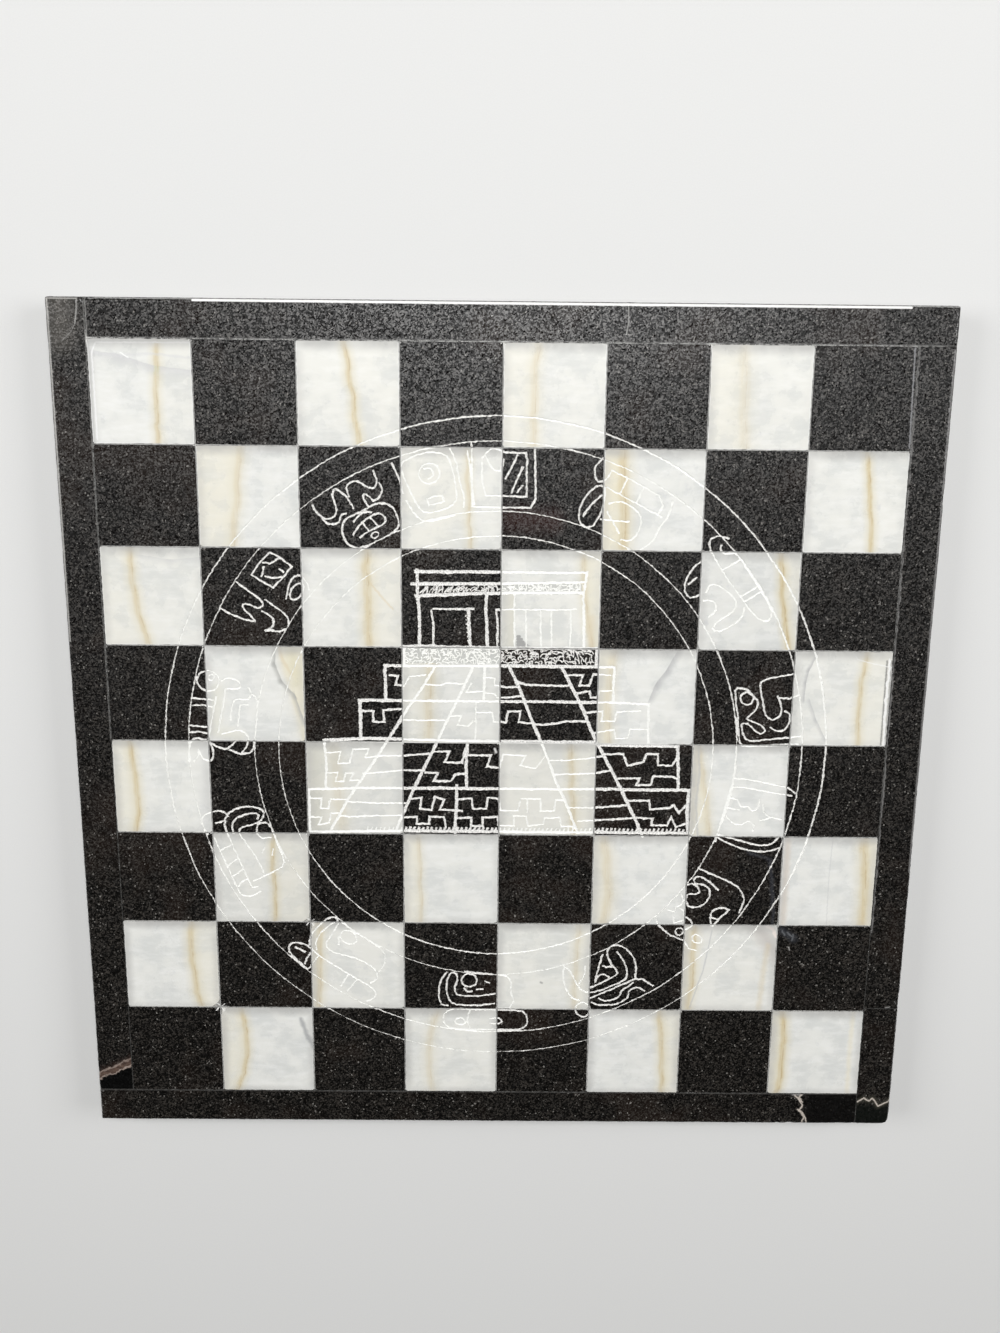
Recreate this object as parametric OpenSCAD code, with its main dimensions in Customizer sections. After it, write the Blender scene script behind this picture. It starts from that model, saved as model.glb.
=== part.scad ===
// A stone chessboard. Sixty-four squares of black marble and white onyx lie on a thin resin bed,
// framed by five border strips, on a cast backing slab with felt under it. A stepped temple inside
// two bands of circles, with fourteen small signs between them, is cut into the squares.
// The board lies flat with its playing face up. +X runs from file a to file h, +Y from rank 1 to
// rank 8, and the origin is on the underside of the felt at the centre of the board.

/* [Playing field] */
// Pitch of the squares, from seam to seam
square_size = 29; // [24:0.5:60]
// Width of the resin seam between two stones
seam_w = 0.3; // [0.1:0.05:0.8]
// Depth of the seam's surface below the playing face
seam_recess = 0.1; // [0.05:0.05:0.5]

/* [Stone] */
// Thickness of the squares and of the border strips
stone_t = 5; // [3:0.5:15]
// Width of the border strips
border_w = 11; // [8:0.5:40]
// Length of the short piece at the near end of the right strip
end_piece_l = 41; // [20:1:70]
// Size of the eased edge round the playing face
arris = 1.2; // [0.4:0.1:2.5]
// Radius of the board's upright corners
corner_r = 1; // [0.5:0.1:4]
// Radius of the near right corner, which is worn round
worn_corner_r = 3.5; // [0.5:0.1:6]

/* [Backing] */
// Thickness of the resin under the stones
bed_t = 0.5; // [0.2:0.1:2]
// Thickness of the cast backing slab
slab_t = 5; // [3:0.5:20]
// How far the slab's sides stand in from the stone's
slab_inset = 0.4; // [0.1:0.1:2]
// Size of the bevel round the slab's underside
slab_bevel = 1; // [0.3:0.1:2]
// Thickness of the felt
felt_t = 1.2; // [0.5:0.1:4]
// How far the felt's edge stands in from the slab's
felt_inset = 2.6; // [2.2:0.1:10]

/* [Engraving] */
// Depth of the engraved lines
engraving_depth = 0.25; // [0.1:0.05:0.8]
// Width of the temple's main lines
heavy_line_w = 1.05; // [0.7:0.05:1.3]
// Width of the fret lines and of the signs
fine_line_w = 0.75; // [0.4:0.05:0.9]
// Width of the four circles
circle_line_w = 0.7; // [0.4:0.05:1.2]

/* [Hidden] */
files = "abcdefgh";
count = len(files);
white_names = [
    for (rank = [1 : count], file = [1 : count]) if ((file + rank) % 2 == 1) square_name(file, rank)
];
black_names = [for (rank = [1 : count]) black_name(rank)];

black_stone = [0.13, 0.12, 0.11];
white_stone = [0.9, 0.89, 0.86];
resin_colour = [0.3, 0.29, 0.27];
slab_colour = [0.17, 0.17, 0.18];
felt_colour = [0.1, 0.25, 0.16];

// More than enough to run clear of a face that is cut
clear = 1;
circle_facets = 180;
corner_steps = 4;
curve_steps = 2;
oval_sides = 12;
// Points nearer than this are the same point
same = 0.01;
// How far the middle of a rounded edge stands in from its corner, as a share of its radius
round_share = 1 - sqrt(1 / 2);

stone_w = square_size - seam_w;
half_field = count * square_size / 2;
half_board = half_field + border_w;
half_seam = seam_w / 2;
slab_z = felt_t;
bed_z = slab_z + slab_t;
stone_z = bed_z + bed_t;
face_z = stone_z + stone_t;
resin_top = face_z - seam_recess;
end_seam_y = -half_board + end_piece_l;

// The picture is drawn on a grid with 29 steps to a square, from the centre of the board.
steps_per_square = 29;
step = square_size / steps_per_square;
circle_centre = [-1, -3];
circle_radii = [65.1, 72.2, 91.9, 98.9];
sign_radius = 82;

// Main lines of the temple, its terraces and its stair
heavy_lines = [
    [[-24.8, 51.4], [-10, 51.6], [24.8, 51.6]],
    [[-24.4, 51.8], [-24.2, 44], [-23.8, 38.5], [-23.8, 29.6]],
    [[24.9, 51.8], [24, 44.4], [24.3, 38.5], [24.6, 29.4]],
    [[-25.8, 47.9], [0, 48.2], [24.6, 48.9]],
    [[-24.6, 44.4], [-5.4, 45.3], [23.8, 45.7]],
    [[-9.6, 40.6], [-9.3, 35], [-8.9, 29.8]],
    [[-4.2, 45], [-4.4, 41], [-4.1, 36.5], [-3.8, 29.8]],
    [[-28.6, 29.5], [0, 29.1], [28.4, 29.3]],
    [[-28.4, 29.3], [-28.4, 23.8]],
    [[28.3, 29.2], [28.4, 23.8]],
    [[-33.9, 13.2], [-34, 23.5], [0, 23.7], [33.8, 23.6], [33.5, 19], [33.8, 13.2]],
    [[-41.4, 1.8], [-41.6, 12.9], [0, 12.9], [34, 12.9], [44.4, 12.5], [44.6, 0.5]],
    [[-52.3, -14], [-52, -7], [-52.4, 0.5], [-40, 1.1], [-29, 1], [0, 0.6], [29, 0.6], [30, -0.3],
        [53.6, -0.5]],
    [[53.5, -0.4], [54, -7], [54.2, -14]],
    [[-57.4, -28.2], [-57.4, -14.9], [-41, -14.3], [0, -14.2], [57.4, -14.2], [57.2, -21], [57.7, -28]],
    [[-57.8, -28.4], [-41, -28.1], [-28.6, -27.9], [58, -28]],
    [[-4.6, 23.5], [-4.8, 13]],
    [[-9.6, 0.5], [-10, -6.6], [-9.7, -14]],
    [[-12.7, -13.4], [-12.8, -19.4], [-13.2, -25], [-13.2, -28.8]],
    [[-19.2, 23.4], [-24, 15.4], [-27.8, 9.8], [-33, 1.4], [-37.4, -5.4], [-45, -17], [-51.2, -28]],
    [[-8, 23.4], [-13.8, 10.6], [-17, 4.2], [-19.2, -1], [-25.8, -14.6], [-31.2, -27.6]],
    [[2.6, 23.4], [5.8, 17], [8.2, 10.6], [12.6, 0.2], [17.4, -12.2], [19.4, -16.6], [23.8, -27.4]],
    [[18.2, 23.4], [24.6, 11], [28.8, 1], [33.8, -8.2], [37.4, -15.4], [42.2, -25], [43.8, -29]]
];

// Treads of the stair, the doorway and the step-frets that fill the terraces
fine_lines = [
    [[-19.8, 40.6], [-8.1, 40.6]],
    [[-20.4, 40.2], [-19.7, 36], [-19.7, 29.8]],
    [[22, 40.8], [4, 40.6], [-1.3, 40.6], [-0.9, 35.5], [-0.9, 29.8]],
    [[3.9, 45.2], [4, 38], [4.1, 29.8]],
    [[7.4, 40.4], [7.5, 29.8]],
    [[11.7, 40.4], [11.9, 29.8]],
    [[14.8, 40.4], [15, 29.8]],
    [[20.4, 40.4], [20.6, 35], [20.4, 29.8]],
    [[-7, 12.5], [-7.2, 1]],
    [[-22.4, 17.9], [-17.4, 17.8], [-16.2, 18.5], [-10.2, 18.3]],
    [[-29.4, 7], [-16, 7]],
    [[-40.2, -4.8], [-36, -4.1], [-29, -4.1], [-20.8, -3.4]],
    [[-41, -9.8], [-29, -8.7], [-22.6, -8.6]],
    [[-45.8, -18.8], [-37, -19.1], [-28.2, -19]],
    [[-48, -23.2], [-45, -23.6], [-37, -23.1], [-29.6, -23]],
    [[5.2, 19], [7.8, 18.1], [15.8, 17.8], [21.2, 17.9]],
    [[9.8, 6.2], [12.6, 5.8], [17, 6.4], [20, 7], [26.2, 7]],
    [[15, -5.2], [20.2, -5.2], [24.6, -4.8], [31.4, -3.8]],
    [[16.6, -9.7], [28.6, -9.2], [33.4, -8.3]],
    [[21.4, -20.2], [28.6, -20.1], [38.6, -19.2]],
    [[24.2, -24.4], [29, -24.2], [41.8, -23.2]],
    [[-32.6, 20.7], [-30.1, 20.5], [-31, 17.7], [-28.4, 17.4], [-26.8, 20.3], [-22, 20.9]],
    [[-8.5, 18.4], [-10, 15.7], [-5.2, 16]],
    [[-4.4, 20.2], [-1.7, 20], [-1.6, 17.8], [1.5, 17.3], [5.2, 17.5]],
    [[-4.4, 15.4], [-1.6, 15.4], [-0.8, 14.1], [1.4, 14.1], [6.2, 14.6]],
    [[20.2, 21], [24.6, 21.1], [23.6, 18], [26.4, 17.9], [27.6, 21.4], [32.6, 21.2]],
    [[23, 15.6], [26.6, 16.2], [26.9, 14.4], [29, 14.4], [29.4, 16.4], [33, 16.5]],
    [[-41, 9.8], [-37.6, 9.5], [-37.7, 6.3], [-34.4, 6.3], [-34.7, 9.9], [-29, 10.4]],
    [[-14.6, 8.2], [-11.4, 8.4], [-12.5, 5.6], [-9.4, 5.2], [-8, 6.8]],
    [[-6.4, 9.4], [-2.2, 9.5], [-1.8, 6.6], [1.8, 6.5], [2.4, 9.8], [6.2, 9.9], [5.6, 6.5], [10.2, 6.2]],
    [[25.8, 9.8], [30.6, 10.2], [30.4, 7.1], [34.2, 7.1], [34.8, 10], [41.8, 10.4]],
    [[28.6, 3.5], [34.2, 4.5], [34.8, 1.9], [38.4, 2], [39, 4.7], [43.8, 4.8]],
    [[-51.6, -3.4], [-47.6, -3], [-48.6, -6.6], [-45, -6.4], [-43.8, -2.2], [-39.2, -2.1], [-40.2, -4.6]],
    [[-51.6, -9.6], [-48.6, -9.5], [-49.2, -12.3], [-46.8, -12.2], [-46.2, -9.6], [-43.8, -9.5],
        [-44.8, -12], [-42.4, -11.8]],
    [[-19.8, -2.7], [-15, -2.7], [-16.4, -6], [-11.2, -6.1], [-10.2, -1.8]],
    [[-22.2, -9.4], [-18.5, -9.5], [-19.8, -12], [-14.6, -12], [-13.2, -9.7], [-10.2, -9.5]],
    [[-9, -3.8], [-2.6, -3.8], [-3.6, -7.2], [0, -7.7], [1.2, -3.4], [7.9, -3.8], [6.4, -6.8],
        [10.8, -7.8], [13.4, -4.2]],
    [[31.4, -3.2], [37.2, -3], [38.6, -6.6], [43.2, -5.5], [44, -3], [47.6, -3], [47.8, -6.5], [52, -6.7],
        [53.3, -4.4]],
    [[36, -10.7], [42.4, -10.6], [41.4, -12.7], [45.8, -12.7], [46.4, -9.9], [52.2, -10], [53.8, -10.8]],
    [[-56.8, -17.8], [-53.6, -17.7], [-54, -21], [-51.6, -21], [-51, -18], [-45.8, -18]],
    [[-56.8, -23.6], [-53.8, -23.7], [-54.8, -26.2], [-51.6, -25.5], [-51, -22.4], [-48, -22.3]],
    [[-26.8, -17.7], [-23.4, -17.2], [-24, -20.8], [-20.4, -21.2], [-19.4, -17], [-16.5, -17.8],
        [-17.8, -20.9], [-11.2, -21.4]],
    [[-29, -23.7], [-24.8, -23.4], [-24.8, -25.6], [-21.1, -25.6], [-21, -23.3], [-16.6, -23.4],
        [-16, -26.6]],
    [[-12.4, -17.6], [-8.2, -17.5], [-8, -20.6], [-3.8, -20.5], [-3.4, -17], [0, -17.4], [0.6, -21.2],
        [5.8, -21.2], [6.6, -17.4], [12.6, -17.3], [12.8, -21.2], [16.6, -21.2], [17.2, -17.5],
        [19.8, -17.8]],
    [[8.6, -17.8], [8.8, -21.4]],
    [[-12.4, -23.7], [-8.4, -23.4], [-8.4, -26.2], [-4.8, -26.2], [-5, -23.4], [-0.4, -23.2], [0, -26],
        [4.6, -26], [4.6, -22.9], [8.4, -22.8], [9, -26], [13.6, -25.5], [13.8, -23.4], [18.6, -23.3],
        [19, -26.1], [22.2, -26.1]],
    [[39.4, -17.7], [45.6, -17.6], [45.8, -20.5], [52.2, -19.8], [53.2, -18.9], [54.8, -21.5],
        [56.6, -19.2]],
    [[42.4, -23.2], [46.8, -23.4], [46.2, -25.5], [51.2, -25.6], [52.5, -22.9], [54, -26.2], [56.6, -25]]
];

// Scribbled bands: [left end, right end, lower edge, upper edge, rows, marks in a row]
scribble_bands = [
    [-28, 28, 24.6, 28.8, 3, 34],
    [-23.4, 23.6, 45.3, 47.6, 2, 30]
];
mark_l = 1.9;
mark_w = 0.5;
// A mark leans this far to one side or the other, and strays from that lean and from its place
mark_lean = 35;
lean_stray = 40;
place_stray = 0.2;
// Turns from one mark to the next and from row to row, so that no two neighbours stray alike
lean_turns = [137, 53];
place_turns = [61, 97];

// Ticks of the corded line under the temple: [left end, right end, foot, top, pitch]
cord_ticks = [-40, 57, -27.6, -26.9, 1.3];
tick_lean = 0.25;

// The fourteen signs: [place on the circle in degrees, straight lines, curves]. Each is drawn with
// its own centre as the origin and its up side pointing away from the middle of the board.
signs = [
    [89,
        [
            [[-9.4, 8.8], [-9, 0.6], [-8.8, -8.8], [8, -8.7], [9.3, -6.2], [8.9, 3.8], [8.5, 8.2]],
            [[0.3, 6.8], [6, 6.8], [6.5, 4.7], [6.6, -5.5], [-5, -5.5], [-6.1, -1.6], [-6.3, 5.2]],
            [[3.7, 6], [0.5, -0.6]],
            [[5.3, 2.7], [2.3, -4.4]],
            [[5.4, -2.4], [4, -4.4]]
        ],
        [
            [[-6.2, 5], [-3.6, 7.8], [0, 6.9]],
            [[-5.2, 5.6], [-3.4, 2.4], [-1, 1.6], [-0.2, 4.8]]
        ]
    ],
    [63,
        [
            [[-9.4, 7.4], [-3, 7.7], [6, 7.5], [8.4, 5.6], [8.4, 2.9]],
            [[-8.4, 2.7], [9.6, 2.5]],
            [[-4.4, 7], [-4.2, 3.4]],
            [[1, 7], [1.2, 3.2]],
            [[-5.6, -6.2], [2, -3]],
            [[-5, -3.4], [1, -7.2]]
        ],
        [
            [[-13.2, 9.2], [-14, 6.5], [-13.2, 4.2], [-11.4, 2.9], [-9.6, 4.4], [-9.4, 7.4]],
            [[-9, 2.4], [-11.4, 1.2], [-12.5, -2.4], [-12.4, -6], [-11, -9.2], [-8.8, -10.2], [-6.8, -9],
                [-6.4, -5.4], [-7, -1.6], [-9, 2.4]],
            [[-8.6, 0], [-9.9, -3.2], [-10.6, -7.6]],
            [[-5.6, -1], [-3, 0.9], [1, 1.1], [4.4, -0.4], [5.8, -3.6], [5.2, -7.4], [2.4, -8.6]],
            [[10.2, 7.8], [11.2, 4], [10.6, -1], [10.6, -5], [8.8, -8.6]]
        ]
    ],
    [37.5,
        [
            [[-4, 9.6], [-4.6, 4]],
            [[5.6, 9.1], [5.2, 3.8]],
            [[7.4, 9], [7, 3.8]],
            [[-7, -3.6], [-7, -6.6]]
        ],
        [
            [[-11, 10.4], [-13.4, 8.3], [-13.8, 5.8], [-11.4, 4.2], [-4, 3.5], [4, 3.4], [11, 3.6],
                [15, 4.8], [15.4, 7.2], [12, 8.8], [6, 9.2], [-3, 9.8], [-6.4, 9.4]],
            [[-10.6, 7.6], [-9.8, 6.6], [-7.9, 7], [-6.6, 9.3]],
            [[-10.2, 0.2], [-10.2, -2], [-8.8, -5.8], [-6.1, -8.7], [-3.4, -8.4], [-2.5, -6]],
            [[8.4, 2.4], [10.3, 0.2], [10.6, -4], [9.8, -7.4], [7.8, -8.4], [7.1, -5], [7.4, -0.8],
                [5.4, 1.6], [2, 1.4], [-1.5, 0.2], [-3, -1.6], [-2, -3.6]],
            [[-0.4, -5.8], [1.4, -3.6], [4, -4.4], [4.4, -7.4]]
        ]
    ],
    [10,
        [
            [[-2.8, 9.2], [-2.1, 6.9], [-2.9, 3.6]]
        ],
        [
            [[-9.4, 9.2], [-9.3, 4.2], [-8.9, 0], [-7.4, -1.3], [-2, -1.1], [1.6, -0.9], [3.3, 0.6],
                [3.3, 2.6], [1.6, 4], [-1, 4], [-3.4, 3.4]],
            [[1.6, 5], [2.6, 6.3], [5, 5.9], [7.2, 4.2], [7.2, 1.8], [5.8, 0.2]],
            [[9.9, 8.6], [9.7, 3.2], [9.3, -2.6], [8.7, -6.6], [6.8, -8], [3.4, -8.2], [3.6, -6.4],
                [5.6, -4.8], [7.2, -3], [6.6, -1.6], [4.8, -2.4], [3.4, -4.4], [2, -6.4], [0.6, -4.6],
                [-1.2, -3], [-3.4, -2.8], [-6, -5]],
            [[12.2, 7.8], [11.7, 2.4], [11, -2.6], [10.3, -7.4], [8.6, -9.4], [0, -9], [-7.2, -8.8],
                [-7.6, -6.8], [-6.4, -4.6]],
            oval([-4.3, -5.7], [1.9, 1.9])
        ]
    ],
    [-12.4,
        [
            [[-12, -10.4], [12.4, -10.4]]
        ],
        [
            [[-7.7, 9], [-8.9, 6.6], [-9, 0.6], [-8.8, -6.2], [-8.2, -9.6]],
            [[-6.8, 8.2], [-6.3, 0.6], [-6.2, -6.2], [-5.4, -9.8]],
            [[9.9, 9.4], [11.8, 6.6], [12.8, 2.4], [12.8, -2], [12.1, -7.1], [11.2, -10]],
            [[7.2, 7.9], [9.4, 6.6], [10.6, 3.8], [10.7, -0.4], [10.2, -9.8]],
            [[1.2, 7.4], [1.2, 4], [0.2, 1.6], [-2, 0.6]],
            [[1.4, 4], [3, 1.2]],
            [[-3.4, -0.8], [-1, -0.7], [0.4, -1.9], [-0.6, -3.8], [0, -5.6], [-2, -7.6], [-2, -9.4]],
            [[6.6, -0.2], [4.6, -0.6], [3.9, -2.6], [5.4, -4], [5.6, -6.4], [4, -9.2]],
            [[1, -6.2], [1.2, -9.6]]
        ]
    ],
    [-37,
        [
            [[1, 4.8], [1.4, 3.5]],
            [[4.9, -6.2], [5, -4.8], [7.2, -3], [10, -4.8], [8.4, -6.2]]
        ],
        [
            [[-5.2, 9], [-9.2, 7.5], [-11, 4.2], [-11, 0.8], [-9.9, -3.9], [-8.6, -10]],
            [[-3.8, 6], [0, 5.4], [3.6, 5.4], [1.7, 3], [-0.4, 2.3], [-2.6, 3.4], [-3.8, 6]],
            [[-6.8, -0.9], [-7.2, -4.4], [-6.9, -8], [-5.4, -9.2], [-4.2, -8], [-5.5, -5.4], [-5.2, -3],
                [-3.2, -1.5], [-0.4, -1.4], [1.9, -2.8], [2.8, -5], [1.6, -7], [-0.2, -7.2], [-1.4, -5.6],
                [-2.8, -5.1]],
            [[-2.8, -5.1], [-3.8, -6.6], [-3.4, -8.8], [-1.8, -9.9]],
            [[6.2, -3], [6, -1.4], [7.4, 0.2], [9.4, -0.6]],
            [[12.8, 6.8], [13.8, 4], [12.6, 1.4], [13.8, -3], [13.4, -8], [12.4, -9.8]],
            [[1.4, -9], [2.4, -7.2], [4.2, -6.8], [5.6, -7.6], [7, -7.2], [7.8, -9]],
            oval([9.7, 4.3], [1.3, 1.7]),
            oval([11.2, -1.7], [1.2, 1.2])
        ]
    ],
    [-64,
        [
            [[-7.8, 3.4], [8, 3.3]],
            [[4.1, -1.3], [1.2, -4.9], [-1.8, -8.6]]
        ],
        [
            [[-11.8, 7.8], [-10.6, 5.8], [-9.6, 4.2], [-7.8, 3.4], [-9.2, 0.5], [-10, -2.6], [-9.6, -5.8],
                [-8.4, -8.5], [-6.4, -9.8], [-4.2, -9.6], [-3, -7.4], [-3.1, -3.5], [-3.4, -0.9],
                [-0.6, -0.2], [6.4, 0]],
            [[-8.6, 8.3], [-7.6, 6.6], [-5.8, 6.1], [-4, 6.6], [-2.6, 8.4], [1.2, 8.7], [4.4, 7.6],
                [6.6, 6.4], [8, 4.9]],
            [[-6.6, 4.2], [-4.4, 4.9], [-2.2, 5.2], [-0.8, 6.6], [1.6, 6.9], [4, 6.1], [5.4, 4.6]],
            [[-6.3, -7.6], [-6.8, -3.1], [-6.2, 0.4], [-4.6, 2.2], [0, 2.3], [5.4, 2], [8.3, 0.6],
                [9.6, -2.6], [9.6, -7.2], [10.6, -9.7], [12.3, -7.4], [13.2, -3.1], [12.9, 0.5],
                [11.2, 2.4]],
            [[-0.4, -0.9], [0.5, -2.3], [2.2, -2.6], [4, -1.2]],
            [[-2.4, -3.8], [-1.2, -4.2], [-0.4, -5.1]],
            [[8.8, -2.8], [6, -4.9], [4.8, -7.2]],
            oval([11.6, 5.8], [2.2, 2.5])
        ]
    ],
    [-92.5,
        [
            [[0.2, -4.8], [2, -4.5]],
            [[-1.7, -7], [-0.6, -7.4]]
        ],
        [
            [[-4, 9], [-11.4, 8.7], [-14, 7.2], [-14.5, 5], [-12.8, 2.3], [-5.5, 2.3], [3.5, 2.4],
                [9.4, 2.7], [11.8, 4.6], [11.8, 7.2], [9.6, 9], [3, 9.2], [-4, 9]],
            [[-2.8, 6.9], [-5.5, 7], [-6.6, 6.2], [-5.3, 5.1], [-2.8, 5.3]],
            [[3.5, 8.6], [4.5, 6], [3.8, 3]],
            [[-3.7, 0.1], [0.4, 0.8], [5.8, 1.2], [9.5, 0.5], [11.2, -2.4], [11.4, -7.2], [10.2, -9.6],
                [8.6, -9.4], [8.2, -7.2], [8.9, -4.9], [8.2, -2.5], [6, -2.1], [1.3, -2.3], [-3.7, -3.3]],
            [[10.8, 1.5], [13, 1], [13.8, -2.6], [13.3, -7.2], [11.6, -9.7]],
            [[3.5, -3.8], [4.9, -3.6], [6, -4.7]],
            [[-4.6, 1.6], [-8.4, 1.4], [-9.8, -1.4], [-8.8, -4], [-8.8, -7.2], [-7, -9.5], [-2, -10],
                [6, -10.4]],
            oval([6.7, 6.7], [1.6, 1.1]),
            oval([4.5, -7.5], [2.4, 2.2])
        ]
    ],
    [-125,
        [
            [[-7.2, 8.3], [-7.5, 3.6]],
            [[-4.6, 8], [-4.2, 3.6]],
            [[7, 9], [6.9, 3.8]],
            [[11.1, 5], [14.2, 5.4]],
            [[3.9, -3.3], [5.3, -5.2]]
        ],
        [
            [[7.5, 9.4], [10.6, 8.8], [15, 7.8], [16.2, 5.4], [14, 3.4], [10.4, 2.9], [6, 3.5], [-4, 3.4],
                [-11, 2.9], [-14.4, 3.5], [-15.2, 5.4], [-14, 7.6]],
            [[8.9, 8.2], [9.5, 6.2], [9.3, 3.6]],
            [[11.2, 2.2], [12.5, -0.6], [12.5, -4], [11.6, -8], [9.6, -10], [7.9, -8.8], [7.5, -4.4],
                [7.2, -1.2], [5.2, -0.1], [2, -0.6], [-3.4, -2.5], [-8, -2.9], [-11.2, -2.2],
                [-12.2, -0.4], [-11.6, 1.8]],
            [[8.5, 2.2], [10, 0.4], [10.5, -3], [9.8, -6.6], [9.1, -8.4]],
            [[-11.5, -3], [-11.4, -6], [-9.6, -8.8], [-5.2, -9.6], [1.2, -9.5], [7.4, -9.8]],
            oval([2.7, -6.9], [2.7, 2.1])
        ]
    ],
    [-158,
        [
            [[-13.4, 7.8], [-6.4, 7.8], [6.2, 7.7]],
            [[-10.8, 7.2], [-9.8, 5.8], [-9.4, 3.9]],
            [[-7, 7.2], [-6.2, 3.9]],
            [[-3.3, 7.2], [-2.6, 5.6], [-2.4, 3.9]],
            [[2.1, 7.2], [2.4, 3.7]],
            [[10.6, 5.2], [10.4, 3]],
            [[-5, -6.6], [-3.4, -7.7]],
            [[-3.3, -4], [-2.1, -5.2]]
        ],
        [
            [[-14.6, 1.6], [-15.1, 5.2], [-13.6, 7.6]],
            [[-12.8, 1.8], [-12.6, 3.3], [-11, 3.6], [0, 3.5], [6.2, 3.4], [9.2, 2.9], [11.6, 1.2],
                [12.5, -2], [12, -5.4], [10.2, -8.6], [8.2, -9.6], [6.4, -7.8], [6.1, -5], [6.5, -1.8],
                [5.6, -0.2], [3.4, -0.2], [-3.2, -1.6], [-9.6, -1.7]],
            [[5.8, 1.6], [8.4, 0.8], [9.8, -1.6], [9.5, -6], [8.2, -7.8], [7.2, -7]],
            [[8.2, 9], [12.4, 9.2], [14.2, 7.6], [14.2, 3.8], [12.8, 1.4], [11.2, 1]],
            [[-10.8, 2.4], [-10.5, -1.6], [-9.9, -6.2], [-8.6, -9], [-3.3, -9.4], [3.1, -9.6],
                [5.2, -8.6], [5.4, -6.2], [3.2, -5], [1, -5.8], [0.3, -8.4]]
        ]
    ],
    [172,
        [
            [[-7.2, 9.2], [-6.6, 6.9], [-6.8, 4.4]],
            [[-5, 9.3], [-4.8, 4.3]],
            [[1.2, 9.2], [1.9, 6.4], [1.6, 3.8]],
            [[3.5, 9.3], [3.8, 3.6]],
            [[-6, 1], [1.2, 0.5], [7.6, 0.2]],
            [[-3.2, -4.6], [3.4, -4.6], [3.9, -6.8]]
        ],
        [
            [[-16, 9], [-12, 9.1], [-9.4, 8.4], [-8.6, 6.4], [-8.9, 3.7], [-3.4, 3.3], [1.2, 3],
                [4.8, 2.7]],
            [[-15.8, 7.2], [-14, 6.2], [-12.2, 6.3]],
            [[-12.6, 5.9], [-14.6, 4.8], [-15.2, 2.6], [-13.6, 1.7], [-11, 2.2], [-9.2, 3.4]],
            [[-9.7, 2.4], [-10.7, 0], [-10.4, -2.4], [-8, -4.2]],
            [[-10.9, -3.1], [-11.5, -6.3], [-10.8, -9], [-9, -9.9], [-1.1, -9.9], [5.4, -9.6],
                [7.2, -7.8]],
            [[-11.2, -6.6], [-9.3, -7.7], [-6, -8], [-4.4, -5.6], [-5.2, -2.6], [-6.4, -0.2]],
            [[-1.5, -2.2], [3.6, -2.3], [5.2, -3.8], [5.4, -6.6], [7.4, -7.6], [9.1, -6.4]],
            [[7.8, -0.4], [8.2, -3.2], [9.7, -4.1], [11, -2.4], [10.8, 0.4], [9.8, 1.6]],
            oval([9.4, 5.5], [3.1, 3.3]),
            oval([10.5, 4.6], [0.9, 0.8])
        ]
    ],
    [146,
        [
            [[4.2, 6.9], [8.1, 6.8], [12.6, 6], [13, 2.8], [12.6, -1.4], [9, -1], [4.5, -0.3], [4.2, 3.3],
                [4.2, 6.9]],
            [[5.4, 4.2], [8.1, 5.1]],
            [[9, 6], [9.9, 4.2], [12.4, 3]],
            [[10, 1.2], [10, -0.3]]
        ],
        [
            [[-9.4, 9.2], [-9, 5.1], [-8, 1], [-6.9, -1.2], [-6.2, 0.8], [-5.8, 3.2], [-4.6, 4.3],
                [-3.6, 2.8], [-3.2, 0.4], [-1.8, -0.6], [-0.8, 0.4], [-0.4, 3.6], [-0.2, 9.2]],
            [[0.2, -0.4], [0.1, -3.5], [-0.1, -7], [-1.2, -9.2], [-3.3, -9.9], [-5.2, -9], [-6.4, -7],
                [-7.4, -5.4]],
            [[-7.4, -5.4], [-4.9, -6.3], [-3.2, -5], [-3, -2.6], [-3.2, -1.4]],
            [[6, 3.4], [6.7, 1.6], [8.4, -0.4]],
            [[4, -5.2], [6, -4.3], [8.4, -3.5], [10.8, -3.7], [11.8, -5], [11.2, -7.6], [9.8, -9.2]],
            oval([7.3, -6.6], [2.7, 1.6])
        ]
    ],
    [119,
        [
            [[-0.9, -3.4], [-0.6, -6]],
            [[1.7, -3.2], [2.4, -5.9]],
            [[14.7, 7.4], [14.5, 2.2]]
        ],
        [
            [[-11.1, 7.9], [-10.9, 5], [-9.7, 2.8], [-7.9, 2.1], [-6, 2.9], [-5.1, 5.4], [-4.6, 8],
                [-2.9, 8.7], [-1.7, 6.4], [-1.1, 3.8], [-1.1, 1.6]],
            [[-0.6, 5.2], [-0.1, 7.6], [1.8, 8.3], [3.7, 7.6], [4.8, 5.6], [6.2, 3.9], [7.8, 4.2],
                [8.7, 5.8], [8.9, 8]],
            [[-10.4, 3.4], [-10, 1.6], [-8.6, 0.5], [-6.8, 0.2], [-5, 1.6], [-3.8, 1.4]],
            [[8.8, 4.4], [8.6, 2], [6.6, 0.8], [4.9, 0.8], [4.3, 2.6], [3.5, 3.7], [2.7, 2.6],
                [2.8, 0.2]],
            [[-3.8, 0.1], [-6, -0.8], [-7.4, -3], [-7.7, -6.2], [-6.1, -8.6], [-3, -9.6], [1.4, -9.9],
                [5.7, -9.8], [8, -8.6], [8.8, -6], [8.8, -3.4], [7.2, -1.3], [4.6, -0.2], [0, -0.3],
                [-3.8, 0.1]],
            [[-2.9, -1.7], [-0.9, -1], [1.6, -1], [2.8, -1.8]],
            [[-5, -4.9], [-2, -3.4], [1.4, -2.8], [4.4, -2.9], [5.4, -4.8], [4.2, -6.4], [0.3, -6.2],
                [-3.6, -6.5]],
            oval([0.4, -8], [1.1, 0.8])
        ]
    ],
    [104,
        [
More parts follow.
